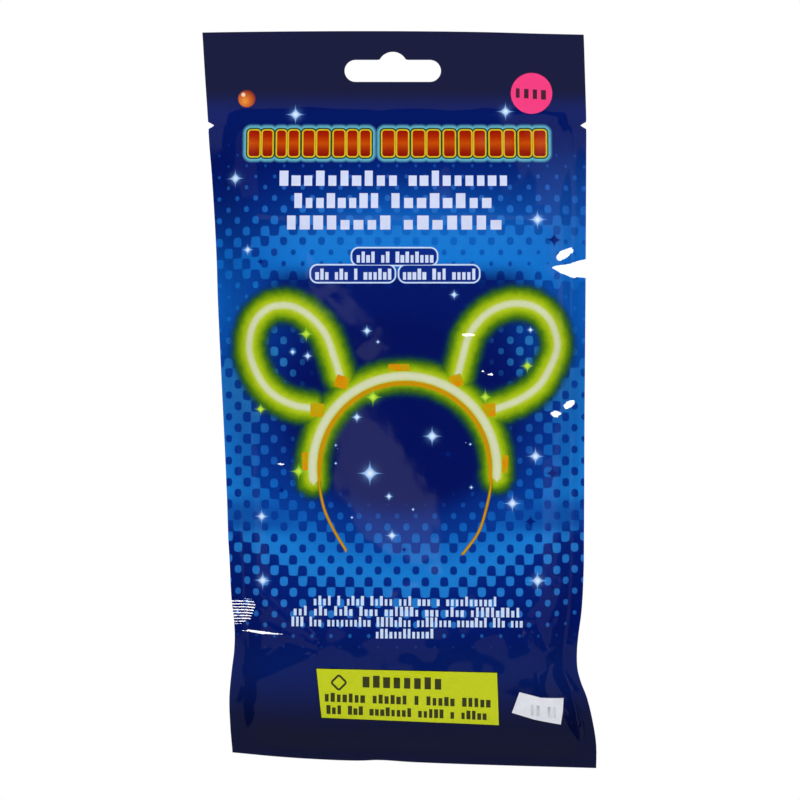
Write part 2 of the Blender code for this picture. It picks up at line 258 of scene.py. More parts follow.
# =============================================================== outline of the pouch
LEFT = [(8.0, -63.9), (6.4, -63.8), (-8.4, -62.9), (-22.7, -61.95), (-30.1, -61.55), (-41.9, -60.6), (-67.7, -59.1),
        (-83.4, -58.6), (-103.5, -57.7), (-130.3, -56.4), (-150.8, -55.5), (-163.4, -55.1), (-170.2, -54.7),
        (-183.7, -54.0), (-190.5, -53.2), (-195.7, -52.95), (-200.7, -53.15), (-207.6, -54.0), (-216.4, -54.75),
        (-226.7, -54.4), (-234.8, -53.7), (-242.0, -53.2)]
RIGHT = [(8.0, 63.9), (5.7, 64.0), (-10.1, 64.5), (-22.7, 64.85), (-34.7, 64.85), (-83.4, 64.6), (-121.4, 64.3),
         (-163.4, 64.1), (-173.6, 64.0), (-187.2, 63.3), (-195.7, 62.2), (-200.7, 61.75), (-206.9, 61.95),
         (-211.0, 63.0), (-216.5, 65.1), (-227.0, 67.5), (-232.4, 68.2), (-240.1, 68.2), (-242.0, 68.2)]
TOP = [(-66.0, 6.4), (-63.8, 6.45), (-30.0, 6.85), (2.4, 6.9), (30.0, 6.6), (52.0, 6.0), (66.0, 5.7)]
BOTTOM = [(-56.0, -234.6), (-53.7, -234.8), (-37.4, -236.3), (-19.6, -237.35), (-10.7, -237.55), (-4.9, -237.35),
          (5.8, -238.0), (20.3, -238.6), (42.0, -239.3), (68.3, -240.05), (70.0, -240.1)]
TEAR = -24.7


def along(table, value):
    keys = np.array([r[0] for r in table], float)
    vals = np.array([r[1] for r in table], float)
    order = np.argsort(keys)
    keys, vals = keys[order], vals[order]
    d = np.diff(vals) / np.diff(keys)
    m = np.concatenate([[d[0]], (d[1:] + d[:-1]) / 2, [d[-1]]])
    v = np.clip(value, keys[0], keys[-1])
    i = np.clip(np.searchsorted(keys, v) - 1, 0, len(keys) - 2)
    h = keys[i + 1] - keys[i]
    t = (v - keys[i]) / h
    return (vals[i] * (2 * t**3 - 3 * t**2 + 1) + m[i] * h * (t**3 - 2 * t**2 + t)
            + vals[i + 1] * (3 * t**2 - 2 * t**3) + m[i + 1] * h * (t**3 - t**2))


def notch(z):
    return 2.0 * np.clip(1.0 - np.abs(z - TEAR) / 1.15, 0.0, 1.0) ** 0.8


def left_edge(z):
    return along(LEFT, z)


def right_edge(z):
    return along(RIGHT, z)


def top_edge(x):
    return along(TOP, x)


def bottom_edge(x):
    return along(BOTTOM, x)


# =============================================================== relief of the films
def ease(d, w, p=2.2):
    t = np.clip(d / w, 0.0, 1.0)
    return 1.0 - (1.0 - t) ** p


def soft_rise(d, w):
    t = np.clip(d / w, 0.0, 1.0)
    return t * t * (3 - 2 * t)


def seal_line(x):
    """Lower edge of the flat header seal, a little wavy."""
    a = 3.0 * x + 392.7
    return (-18.0 + 0.9 * np.sin(a / 23.0 + 0.6) + 0.6 * np.sin(a / 9.3 + 1.1) + 0.35 * np.sin(a / 4.7)
            + 0.9 * np.exp(-((a - 345) / 14.0) ** 2) - 1.4 * np.exp(-((a - 560) / 30.0) ** 2))


def hermite_noise(x, z, scale, seed):
    """Smooth value noise, -1 to 1."""
    rng = np.random.default_rng(seed)
    table = rng.uniform(-1, 1, (64, 96))
    u, v = (x + 200.0) / scale, (z + 400.0) / scale
    i, j = np.floor(u).astype(int), np.floor(v).astype(int)
    fu, fv = u - i, v - j
    fu, fv = fu * fu * (3 - 2 * fu), fv * fv * (3 - 2 * fv)
    g = lambda a, b: table[a % 64, b % 96]
    return ((g(i, j) * (1 - fu) + g(i + 1, j) * fu) * (1 - fv) + (g(i, j + 1) * (1 - fu) + g(i + 1, j + 1) * fu) * fv)


class FacetNet:
    """Shallow flat facets of a handled film: heights at points, straight creases between them."""

    def __init__(self, designed, spacing, amount, seed, quiet=None):
        rng = np.random.default_rng(seed)
        pts, hts = [], []
        for a, b, h in designed:
            pts.append(A(a, b))
            hts.append(h)
        base = np.array(pts) if pts else np.zeros((0, 2))
        xs = np.arange(-60, 70, spacing)
        zs = np.arange(-232, -18, spacing * 1.15)
        for i, x in enumerate(xs):
            for z in zs:
                p = np.array([x, z]) + rng.uniform(-0.38, 0.38, 2) * spacing
                if len(base) and np.min(np.hypot(*(base - p).T)) < spacing * 0.55:
                    continue
                pts.append(tuple(p))
                h = float(rng.normal(0, amount))
                if quiet and quiet[0] < 3 * p[0] + 392.7 < quiet[1] and quiet[2] < 49.8 - 3 * p[1] < quiet[3]:
                    h = 0.0
                hts.append(h)
        for x in np.arange(-90, 100, 20.0):
            for z in (30.0, -270.0):
                pts.append((x + 0.3 * math.sin(x), z))
                hts.append(0.0)
        for z in np.arange(-250, 20, 20.0):
            for x in (-90.5, 99.5):
                pts.append((x, z + 0.3 * math.cos(z)))
                hts.append(0.0)
        out = delaunay_2d_cdt([Vector(p) for p in pts], [], [], 0, 1e-4)
        self.verts = np.array([tuple(v) for v in out[0]])
        self.tris = [t for t in out[2] if len(t) == 3]
        origin = out[3]
        self.h = np.array([hts[o[0]] if o else 0.0 for o in origin])

    def __call__(self, x, z):
        shape = x.shape
        x, z = x.ravel(), z.ravel()
        out = np.zeros_like(x)
        for t in self.tris:
            (x0, z0), (x1, z1), (x2, z2) = self.verts[list(t)]
            sel = np.nonzero((x >= min(x0, x1, x2)) & (x <= max(x0, x1, x2))
                             & (z >= min(z0, z1, z2)) & (z <= max(z0, z1, z2)))[0]
            if not len(sel):
                continue
            det = (z1 - z2) * (x0 - x2) + (x2 - x1) * (z0 - z2)
            if abs(det) < 1e-9:
                continue
            px, pz = x[sel], z[sel]
            w0 = ((z1 - z2) * (px - x2) + (x2 - x1) * (pz - z2)) / det
            w1 = ((z2 - z0) * (px - x2) + (x0 - x2) * (pz - z2)) / det
            w2 = 1 - w0 - w1
            inside = (w0 >= -1e-6) & (w1 >= -1e-6) & (w2 >= -1e-6)
            k = sel[inside]
            out[k] = (w0 * self.h[t[0]] + w1 * self.h[t[1]] + w2 * self.h[t[2]])[inside]
        return out.reshape(shape)


def crease(x, z, p0, p1, amount, width, sharp=0.35, ends=0.25):
    """A ridge (or a valley) between two places on the artwork grid."""
    (x0, z0), (x1, z1) = A(*p0), A(*p1)
    dx, dz = x1 - x0, z1 - z0
    length = math.hypot(dx, dz)
    t = ((x - x0) * dx + (z - z0) * dz) / length**2
    d = ((x - x0) * dz - (z - z0) * dx) / length
    mask = soft_rise(t + ends * 0.3, ends) * soft_rise(1 + ends * 0.3 - t, ends)
    return amount * mask * np.exp(-(np.sqrt(d * d + sharp * sharp) - sharp) / width)


FRONT_FACETS = FacetNet([], 21.0, 0.17, 11, quiet=(262, 520, 225, 765))
BACK_FACETS = FacetNet([], 24.0, 0.35, 23)


def box_blur(grid, n):
    """Light blur of a grid, n passes of a 1-2-1 kernel."""
    for _ in range(n):
        g = np.pad(grid, 1, mode='edge')
        grid = (g[:-2, 1:-1] + 2 * g[1:-1, 1:-1] + g[2:, 1:-1]) / 4
        g = np.pad(grid, 1, mode='edge')
        grid = (g[1:-1, :-2] + 2 * g[1:-1, 1:-1] + g[1:-1, 2:]) / 4
    return grid


def side_distance(x, z, seal=4.5):
    return np.minimum(x - left_edge(z), right_edge(z) - x) - seal


def patch(x, z, corners, gx, gz, lift=0.0, soft=0.4):
    """A small flat facet of its own tilt, inside a convex outline on the artwork grid."""
    p = np.array([A(*c) for c in corners])
    cx, cz = p.mean(0)
    d = np.full(x.shape, -1e9)
    turn = sum(p[k - 1][0] * p[k][1] - p[k][0] * p[k - 1][1] for k in range(len(p)))
    for k in range(len(p)):
        (x0, z0), (x1, z1) = p[k - 1], p[k]
        length = math.hypot(x1 - x0, z1 - z0)
        e = ((x - x0) * (z1 - z0) - (z - z0) * (x1 - x0)) / length * (1 if turn > 0 else -1)
        d = np.maximum(d, e)
    m = np.clip(0.5 - d / (2 * soft), 0, 1)
    m = m * m * (3 - 2 * m)
    return m * (gx * (x - cx) + gz * (z - cz) + lift)


def inside(x, z, corners, soft=0.5):
    """1 inside a convex outline on the artwork grid, 0 outside."""
    return patch(x, z, corners, 0.0, 0.0, 1.0, soft)


# creased faces near the edges: outline on the artwork grid, direction they look in
CREASE_FACES = [
    ([(555, 258), (560, 251), (572, 246.5), (575, 250), (568, 256.5), (559, 262)], (-0.059, -0.895, 0.443)),
    ([(549, 267), (563, 264.5), (575, 262), (582, 275), (574, 277.5), (561, 273)], (-0.059, -0.895, 0.443)),
    ([(572, 262), (592, 257), (592, 277), (580, 277)], (-0.062, -0.895, 0.443)),
    ([(563, 405), (570, 400), (577, 400), (573, 407), (566, 409.5)], (-0.058, -0.880, 0.470)),
    ([(549, 413.5), (555, 410), (562, 413), (556, 418.5)], (-0.055, -0.880, 0.470)),
    ([(225, 600), (252, 599), (256, 605), (250, 620), (240, 625), (227, 625)], (0.055, -0.848, 0.527)),
    ([(225, 630.5), (262, 630.5), (286, 633.5), (285, 636), (260, 633.6), (226, 633.5)], (0.055, -0.846, 0.530)),
    ([(276, 463.5), (284, 463), (284, 465.5), (277, 466)], (0.045, -0.868, 0.495)),
    ([(461, 333), (476, 335), (478, 337.2), (462, 335.5)], (-0.02, -0.887, 0.461)),
    ([(480, 370), (493, 374), (493, 376), (481, 372.5)], (-0.02, -0.882, 0.468)),
]


def front_bulge(x, z):
    dl = x - left_edge(z) - 4.5
    dr = right_edge(z) - x - 4.5
    low = z - bottom_edge(x) - 3.5
    value = ease(dl, 11.5) * ease(dr, 11.5) * ease(low, 18.0, 2.2)
    value = value * soft_rise(-17.4 - z, 40.0) * ease(seal_line(x) - z, 3.0, 2.0)
    return 6.35 * value


def front_detail(x, z, blur=2):
    """Facets and creases, fading out to nothing in the seals."""
    fade = np.clip(side_distance(x, z, 1.0) / 5.0, 0, 1) * np.clip((z - bottom_edge(x) - 2.0) / 6.0, 0, 1)
    fade = fade * np.clip((seal_line(x) - z) / 6.0, 0, 1)
    h = box_blur(FRONT_FACETS(x, z), blur)
    still = np.exp(-(((x - AX(385)) / 34.0) ** 4 + ((z - AZ(420)) / 58.0) ** 4))
    h = h + (0.05 * hermite_noise(x, z, 9.0, 5) + 0.02 * hermite_noise(x, z, 4.0, 6)) * (1 - 0.93 * still)
    # lower left: folds that fan in from the waist of the outline
    for corners, gz in (
            ([(285, 638), (313, 645), (315, 650), (297, 664), (272, 676), (250, 686), (247, 678), (262, 660)], -0.050),
            ([(234, 687), (249, 684), (253, 706), (249, 709), (237, 698)], -0.055),
            ([(249, 658), (262, 647), (284, 640), (270, 650), (253, 661)], -0.060),
            ([(252, 612), (262, 612), (290, 634), (284, 640)], -0.050)):
        h = h + patch(x, z, corners, 0.0, gz, 0.0, 0.5)
    for corners in ([(248, 586), (256, 583), (317, 639), (312, 643)], [(262, 604), (267, 601), (297, 630), (292, 634)]):
        h = h + patch(x, z, corners, 0.05, 0.10, 0.25, 0.45)
    h = h + crease(x, z, (246, 583), (318, 647), 0.20, 1.6)
    h = h + crease(x, z, (246, 690), (318, 650), 0.22, 1.8)
    # lower right: one long fold that turns at the waist
    for corners, gz in (
            ([(527, 626), (535, 612), (541, 622), (546, 641), (551, 658), (541, 658), (531, 641)], -0.055),
            ([(541, 657), (553, 655), (566, 674), (578, 694), (566, 699), (551, 676)], -0.055),
            ([(545, 716), (590, 722), (592, 730), (560, 728)], -0.050)):
        h = h + patch(x, z, corners, 0.0, gz, 0.0, 0.5)
    for corners in ([(542, 586), (551, 583), (536, 616), (529, 618)], [(560, 579), (569, 577), (556, 621), (549, 626)],
                    [(549, 650), (557, 648), (556, 658), (550, 659)]):
        h = h + patch(x, z, corners, -0.05, 0.10, 0.2, 0.45)
    h = h + crease(x, z, (556, 580), (528, 628), 0.22, 1.5)
    h = h + crease(x, z, (528, 628), (548, 668), 0.24, 1.6)
    h = h + crease(x, z, (548, 664), (582, 706), 0.20, 1.8)
    rng = np.random.default_rng(3)
    for k in range(30):                                # short puckers along the side seals
        y = rng.uniform(150, 735)
        right = rng.uniform() < 0.5
        z0 = (49.8 - y) / 3
        e = float(right_edge(np.array(z0)) if right else left_edge(np.array(z0))) * 3 + 392.7
        run = rng.uniform(14, 34) * (-1 if right else 1)
        h = h + crease(x, z, (e + run * 0.15, y), (e + run, y + rng.uniform(-9, 9)),
                       rng.uniform(0.05, 0.16), rng.uniform(0.7, 1.4), 0.3, 0.5)
    for k in range(10):                                # and along the bottom seal
        a = rng.uniform(245, 585)
        y = float(-3 * bottom_edge(np.array((a - 392.7) / 3)) + 49.8)
        h = h + crease(x, z, (a, y - rng.uniform(10, 16)), (a + rng.uniform(-10, 10), y - rng.uniform(30, 52)),
                       rng.uniform(0.04, 0.1), rng.uniform(0.9, 1.6), 0.35, 0.5)
    return h * fade


def hoop_room(x, z):
    """Least height that keeps the film clear of the hoop's ends, which push it out near the foot."""
    return 4.75 * soft_rise(z + 230.5, 4.5) * soft_rise(x + 40.0, 8.0) * soft_rise(49.0 - x, 8.0) * soft_rise(-185.0 - z, 12.0)


def header_detail(x, z):
    return 0.02 * hermite_noise(x, z, 16.0, 8)


def back_bulge(x, z):
    dl = x - left_edge(z) - 4.5
    dr = right_edge(z) - x - 4.5
    low = z - bottom_edge(x) - 5.5
    top = -17.4 - z
    value = ease(dl, 10.0) * ease(dr, 10.0) * ease(low, 9.0) * ease(top, 9.0)
    return 6.75 * value


def back_detail(x, z):
    fade = np.clip(side_distance(x, z, 1.0) / 5.0, 0, 1) * np.clip((z - bottom_edge(x) - 2.0) / 6.0, 0, 1)
    fade = fade * np.clip((-18.0 - z) / 9.0, 0, 1)
    h = box_blur(BACK_FACETS(x, z), 2) * 0.8 + 0.08 * hermite_noise(x, z, 10.0, 15)
    rng = np.random.default_rng(9)
    for k in range(30):
        y = rng.uniform(150, 735)
        right = rng.uniform() < 0.5
        z0 = (49.8 - y) / 3
        e = float(right_edge(np.array(z0)) if right else left_edge(np.array(z0))) * 3 + 392.7
        run = rng.uniform(14, 40) * (-1 if right else 1)
        h = h + crease(x, z, (e + run * 0.15, y), (e + run, y + rng.uniform(-10, 10)),
                       rng.uniform(0.12, 0.35), rng.uniform(0.7, 1.5), 0.25, 0.5)
    return (np.abs(h + 0.35) + h * 0.2) * fade


FILM = 0.12
SEAL = 0.07          # inner face of a film where it is welded


def film_out(x, z, front, upper):
    """Distance of a film's outer face from the seal plane."""
    base = SEAL + FILM
    if front:
        h = front_bulge(x, z) + front_detail(x, z) * (0 if upper else 1)
        if upper:
            h = h + front_detail(x, z)
        still = np.exp(-(((x - AX(385)) / 34.0) ** 4 + ((z - AZ(420)) / 58.0) ** 4))
        h = h + header_detail(x, z) * (1 - still)
        if not upper:
            h = np.maximum(h, hoop_room(x, z))
        return base + np.maximum(h, 0.0)
    return base + np.maximum(back_bulge(x, z) + back_detail(x, z), 0.0)


def film_grid(front, upper, nx, step):
    """Rows and columns of points over one web, following its uneven outline."""
    s = np.linspace(0, 1, nx + 1)
    if upper:
        n = int(round(31.6 / step))
        t = np.linspace(0, 1, n + 1)
        t = np.unique(np.concatenate([t, 1 - np.array([1.15, 0.8, 0.5, 0.25]) / 31.6]))
    else:
        n = int(round(213.0 / step))
        t = np.linspace(0, 1, n + 1)
        extra = [np.array([1.15, 0.8, 0.5, 0.25]) / 213.0]
        if front:                                      # finer rows where the film is folded small
            for y0, y1 in ((243, 281), (398, 420), (578, 645)):
                span = np.arange(AZ(y0), AZ(y1), -0.5)
                extra.append((TEAR - span) / 213.0)
        t = np.unique(np.round(np.concatenate([t] + extra), 5))
        t = t[np.concatenate([[True], np.diff(t) > 0.0009])]
        t[-1] = 1.0
    S, T = np.meshgrid(s, t)
    X = np.zeros_like(S)
    Z = np.zeros_like(S)
    for _ in range(5):
        if upper:
            top, bot = top_edge(X), np.full_like(X, TEAR + 0.005)
        else:
            top, bot = np.full_like(X, TEAR - 0.005), bottom_edge(X)
        Z = top + (bot - top) * T
        X = left_edge(Z) + (right_edge(Z) - left_edge(Z)) * S
    lo, hi = left_edge(Z) + notch(Z), right_edge(Z) - notch(Z)
    X = lo + (hi - lo) * S
    return X, Z


def slot_outline():
    pts = []
    for k in range(33):
        a = math.radians(-90 + 180 * k / 32)
        pts.append((12.45 + 3.7 * math.cos(a), -6.4 + 3.7 * math.sin(a)))
    meet = math.sqrt(25 - 2.3**2)
    a0 = math.atan2(2.3, meet)
    pts.append((meet + 0.8, -2.7))
    for k in range(33):
        a = a0 + 0.03 + (math.pi - 2 * a0 - 0.06) * k / 32
        pts.append((5 * math.cos(a), -5 + 5 * math.sin(a)))
    pts.append((-meet - 0.8, -2.7))
    for k in range(33):
        a = math.radians(90 + 180 * k / 32)
        pts.append((-12.45 + 3.7 * math.cos(a), -6.4 + 3.7 * math.sin(a)))
    return pts


def evaluated_mesh(ob, name):
    bpy.context.view_layer.update()
    dg = bpy.context.evaluated_depsgraph_get()
    mesh = bpy.data.meshes.new_from_object(ob.evaluated_get(dg))
    mesh.name = name
    return mesh


def film(name, front, upper, nx, step):
    X, Z = film_grid(front, upper, nx, step)
    Y = film_out(X, Z, front, upper) * (-1 if front else 1)
    rows, cols = X.shape
    verts = np.stack([X, Y, Z], -1).reshape(-1, 3) * MM
    idx = np.arange(rows * cols).reshape(rows, cols)
    quads = np.stack([idx[:-1, :-1], idx[1:, :-1], idx[1:, 1:], idx[:-1, 1:]], -1).reshape(-1, 4)
    if not front:
        quads = quads[:, ::-1]
    ob = mesh_object(name, verts, quads.tolist())
    solid = ob.modifiers.new("film", 'SOLIDIFY')
    solid.thickness = FILM * MM
    solid.offset = -1.0
    solid.material_offset = 1
    solid.material_offset_rim = 1
    ob.data.materials.append(bpy.data.materials.new("outer"))
    ob.data.materials.append(bpy.data.materials.new("inner"))
    if upper:
        pts = slot_outline()
        n = len(pts)
        v = [(x * MM, -0.004, z * MM) for x, z in pts] + [(x * MM, 0.004, z * MM) for x, z in pts]
        f = [list(range(n)), list(range(2 * n - 1, n - 1, -1))]
        f += [[(i + 1) % n, i, i + n, (i + 1) % n + n] for i in range(n)]
        cut = mesh_object("slot_cutter", v, f, smooth=False)
        bm = bmesh.new()
        bm.from_mesh(cut.data)
        bmesh.ops.recalc_face_normals(bm, faces=bm.faces[:])
        bm.to_mesh(cut.data)
        bm.free()
        cut.data.materials.append(ob.data.materials[0])
        cut.data.materials.append(ob.data.materials[1])
        for p in cut.data.polygons:
            p.material_index = 1
        mod = ob.modifiers.new("slot", 'BOOLEAN')
        mod.object = cut
        mod.operation = 'DIFFERENCE'
        mod.solver = 'EXACT'
    mesh = evaluated_mesh(ob, name)
    old = ob.data
    ob.modifiers.clear()
    ob.data = mesh
    bpy.data.meshes.remove(old)
    if upper:
        bpy.data.objects.remove(cut, do_unlink=True)
    mesh.shade_smooth()
    mesh.set_sharp_from_angle(angle=math.radians(60))
    return ob


# =============================================================== artwork laid on the film
def smooth_path(points, per=10):
    """Catmull-Rom curve through places on the artwork grid, in mm."""
    p = np.array([A(*q) for q in points])
    p = np.vstack([2 * p[0] - p[1], p, 2 * p[-1] - p[-2]])
    out = []
    for i in range(1, len(p) - 2):
        for k in range(per):
            t = k / per
            out.append(0.5 * (2 * p[i] + (p[i + 1] - p[i - 1]) * t
                              + (2 * p[i - 1] - 5 * p[i] + 4 * p[i + 1] - p[i + 2]) * t**2
                              + (3 * p[i] - p[i - 1] - 3 * p[i + 1] + p[i + 2]) * t**3))
    out.append(p[-2])
    return np.array(out)


def path_distance(x, z, path):
    """Unsigned and signed distance to an open path; the sign is the side of the nearest stretch."""
    best = np.full(x.shape, 1e9)
    sign = np.ones(x.shape)
    for (x0, z0), (x1, z1) in zip(path[:-1], path[1:]):
        dx, dz = x1 - x0, z1 - z0
        t = np.clip(((x - x0) * dx + (z - z0) * dz) / (dx * dx + dz * dz), 0, 1)
        ex, ez = x - x0 - t * dx, z - z0 - t * dz
        d = np.hypot(ex, ez)
        side = np.where(ex * dz - ez * dx >= 0, 1.0, -1.0)
        near = d < best
        best = np.where(near, d, best)
        sign = np.where(near, side, sign)
    return best, best * sign


EAR_LEFT = [(340.5, 377), (334.8, 359), (326, 335), (312, 318), (296.5, 308), (282.5, 305.5), (268.5, 308.7),
            (255.7, 320.8), (250, 337.4), (250, 354), (257, 373), (267, 388), (280, 398.6), (296.5, 405.6), (311, 408)]
EAR_RIGHT = [(457.4, 376), (462.5, 356.5), (469, 335), (483, 317), (499.5, 307), (517.3, 303.6), (535, 307.4),
             (549, 319.5), (556.3, 337.4), (556.3, 351.4), (549, 369), (538, 386), (521, 398.6), (504.6, 405.6),
             (491.8, 410)]
CROWN = [(404.7 + 92 * math.sin(math.radians(a)), 468 - 92 * math.cos(math.radians(a))) for a in range(-97, 98, 6)]
HOOP = ([(346, 549.5), (334.6, 530.5), (324.3, 508), (319.2, 480)]
        + [(404.7 + 85 * math.sin(math.radians(a)), 468 - 85 * math.cos(math.radians(a))) for a in range(-82, 83, 8)]
        + [(490.8, 480), (486, 508), (478, 532), (463, 553)])

# sparkles: place, reach, kind (0 pale blue, 1 yellow-green, 2 dark blue)
SPARKS = [(295, 113, 14, 0), (506, 110, 13, 0), (235, 178, 13, 0), (537, 220, 14, 0), (554, 240, 13, 2),
          (248, 250, 9, 0), (250, 197, 5, 2), (454, 295, 8, 0), (367, 331, 9, 0), (373, 397, 14, 1),
          (432, 436, 14, 0), (370, 473, 18, 0), (389, 496, 7, 0), (392, 535, 10, 0), (404, 549, 6, 2),
          (262, 516, 11, 0), (299, 471, 13, 1), (261, 409, 10, 1), (485, 397, 12, 1), (535, 456, 13, 0),
          (512, 503, 13, 0), (552, 473, 12, 2), (530, 521, 11, 2), (308, 356, 8, 0), (306.5, 334, 12, 1),
          (527, 366, 11, 1), (530, 330, 6, 0), (263, 580, 13, 0), (537, 580, 14, 0), (522, 599, 9, 2),
          (391, 286, 5, 2), (378, 342, 4, 0), (464, 306, 5, 2), (357, 417, 9, 0), (448, 454, 7, 2),
          (293, 352, 6, 0), (282, 490, 7, 2), (336, 445, 3, 0), (336, 463, 3, 0), (470, 444, 3, 0),
          (471, 487, 4, 0), (413, 509, 3, 0), (352, 517, 3, 0), (261, 262, 7, 2)]


def spread_sparks(count=3):
    """Shares the sparkles between layers so that no two of a layer lie close together."""
    layers = [[] for _ in range(count)]
    for s in SPARKS:
        free = [l for l in layers if all(math.hypot(s[0] - o[0], s[1] - o[1]) > 1.3 * (s[2] + o[2]) + 5 for o in l)]
        (free[0] if free else layers[-1]).append(s)
    return layers


SPARK_LAYERS = spread_sparks()

PANEL = [(316.7, 667.8), (496.7, 671.8), (498.6, 724.3), (321.8, 716.8)]


def write_float(mesh, name, values):
    a = mesh.attributes.new(name, 'FLOAT', 'POINT')
    a.data.foreach_set("value", np.ascontiguousarray(values, dtype=np.float32).ravel())


def write_vector(mesh, name, values):
    a = mesh.attributes.new(name, 'FLOAT_VECTOR', 'POINT')
    a.data.foreach_set("vector", np.ascontiguousarray(values, dtype=np.float32).ravel())


def write_colour(mesh, name, values):
    a = mesh.attributes.new(name, 'FLOAT_COLOR', 'POINT')
    a.data.foreach_set("color", np.ascontiguousarray(values, dtype=np.float32).ravel())


def spark_field(x, z, sparks):
    best = np.full(x.shape, 1e9)
    out = np.zeros(x.shape + (4,))
    for a, b, reach, kind in sparks:
        cx, cz = A(a, b)
        size = reach / 3.0
        d = np.hypot(x - cx, z - cz) / size
        near = d < best
        best = np.where(near, d, best)
        vals = np.stack([(x - cx) / size, (z - cz) / size, (d < 1.15).astype(float), np.full(x.shape, float(kind))], -1)
        out = np.where(near[..., None], vals, out)
    return out


def lay_artwork(mesh, front):
    n = len(mesh.vertices)
    co = np.empty(n * 3)
    mesh.vertices.foreach_get("co", co)
    co = co.reshape(n, 3) / MM
    x, z = co[:, 0], co[:, 2]
    write_vector(mesh, "film_xz", np.stack([x, z, np.zeros(n)], -1))
    if front:
        el, er = smooth_path(EAR_LEFT), smooth_path(EAR_RIGHT)
        ul, sl = path_distance(x, z, el)
        ur, sr = path_distance(x, z, er)
        first = ul < ur
        uc, sc = path_distance(x, z, smooth_path(CROWN, 3))
        uh, sh = path_distance(x, z, smooth_path(HOOP, 6))
        write_colour(mesh, "tube", np.stack([np.where(first, ul, ur), np.where(first, sl, sr), uc, sc], -1))
        write_vector(mesh, "hoop", np.stack([uh, sh, np.zeros(n)], -1))
        face = np.zeros((n, 4))
        for corners, way in CREASE_FACES:
            m = inside(x, z, corners)
            face = np.where((m > face[:, 3])[:, None], np.stack([np.full(n, way[0]), np.full(n, way[1]), np.full(n, way[2]), m], -1), face)
        face[:, :3] = np.where(np.abs(face[:, :3]).sum(1, keepdims=True) > 0, face[:, :3], np.array([0.0, -0.89, 0.45]))
        write_colour(mesh, "crease_face", face)
        for k, layer in enumerate(SPARK_LAYERS):
            write_colour(mesh, "spark_%d" % k, spark_field(x, z, layer))
    # planar layout of the print, with the hidden inner face beside it
    uv = mesh.uv_layers.new(name="OFBake")
    inner = np.zeros(len(mesh.polygons), dtype=np.int32)
    mesh.polygons.foreach_get("material_index", inner)
    starts = np.zeros(len(mesh.polygons), dtype=np.int32)
    totals = np.zeros(len(mesh.polygons), dtype=np.int32)
    mesh.polygons.foreach_get("loop_start", starts)
    mesh.polygons.foreach_get("loop_total", totals)
    loop_inner = np.repeat(inner, totals)
    vi = np.zeros(len(mesh.loops), dtype=np.int32)
    mesh.loops.foreach_get("vertex_index", vi)
    z0, z1 = z.min(), z.max()
    tall = z1 - z0
    wide = max(tall * 0.62, 134.0) if tall > 100 else 140.0
    u = (x[vi] + 66.0) / (wide / 0.62)
    scale = 0.62 / wide
    u = 0.005 + (x[vi] + 66.0) * scale * 0.98
    v = 0.005 + (z[vi] - z0) * scale * 0.98
    u_in = 0.64 + (x[vi] + 66.0) * scale * 0.5
    v_in = 0.005 + (z[vi] - z0) * scale * 0.5
    uvs = np.stack([np.where(loop_inner == 1, u_in, u), np.where(loop_inner == 1, v_in, v)], -1)
    uv.data.foreach_set("uv", np.ascontiguousarray(uvs, dtype=np.float32).ravel())


def box_sdf(n, x, z, x0, x1, z0, z1, r):
    cx, cz, hw, hh = (x0 + x1) / 2, (z0 + z1) / 2, abs(x1 - x0) / 2, abs(z1 - z0) / 2
    qx = abs(x - cx) - (hw - r)
    qz = abs(z - cz) - (hh - r)
    return hyp(qx.max(0.0), qz.max(0.0)) + qx.max(qz).min(0.0) - r


def turned_box(n, x, z, a, b, half_w, half_h, degrees, r):
    cx, cz = A(a, b)
    c, s = math.cos(math.radians(degrees)), math.sin(math.radians(degrees))
    dx, dz = x - cx, z - cz
    u = dx * c + dz * s
    v = dz * c - dx * s
    qx = abs(u) - (half_w / 3 - r)
    qz = abs(v) - (half_h / 3 - r)
    return hyp(qx.max(0.0), qz.max(0.0)) + qx.max(qz).min(0.0) - r


def tile_row(n, x, z, a0, a1, b0, b1, words, seed, lean=0.0, low=0.68, gap=0.3):
    """A row of small tiles of uneven height in groups, standing in for a line of print. Returns its mask."""
    cells = sum(words) + len(words) - 1
    p = (a1 - a0) / 3.0 / cells
    zc = (AZ(b0) + AZ(b1)) / 2
    hh = abs(AZ(b0) - AZ(b1)) / 2
    xm = AX((a0 + a1) / 2)
    dz = z - zc - (x - xm) * lean
    u = (x - AX(a0)) / p
    cell = u.floor()
    white = n.node("ShaderNodeTexWhiteNoise", noise_dimensions='1D')
    n.put(white.inputs["W"], cell + seed)
    rand = E(n, white.outputs["Value"])
    sep = n.node("ShaderNodeSeparateColor")
    n.nt.links.new(white.outputs["Color"], sep.inputs[0])
    other = E(n, sep.outputs[1])
    fx = abs(u.fract() - 0.5) * p
    half_w = other * (p * 0.10) + p * (0.45 - gap * 0.5)
    top = hh * (2 * low - 1) + (rand > 0.62) * (hh * 2 * (1 - low))
    d = (fx - half_w).max(dz - top).max(-hh - dz)
    inside = n.step(d, 0.05, -0.05, False)
    stops, at = [(0.0, (0.0, 0.0, 0.0))], 0
    for wlen in words:
        stops.append(((at + 0.5) / (cells + 1), (1.0, 1.0, 1.0)))
        stops.append(((at + wlen + 0.5) / (cells + 1), (0.0, 0.0, 0.0)))
        at += wlen + 1
    fac = (u + 0.5) / (cells + 1.0)
    mask = n.ramp(fac, stops, 'CONSTANT')
    sep2 = n.node("ShaderNodeSeparateColor")
    n.nt.links.new(mask, sep2.inputs[0])
    return inside * E(n, sep2.outputs[0])


def bell(n, a, centre, low, high):
    """1 at the centre, fading over low on the smaller side and high on the larger."""
    d = a - centre
    q = (d.max(0.0) / high) 
    r = (d.min(0.0) / low)
    return n.math('POWER', 2.7183, -(q * q + r * r))


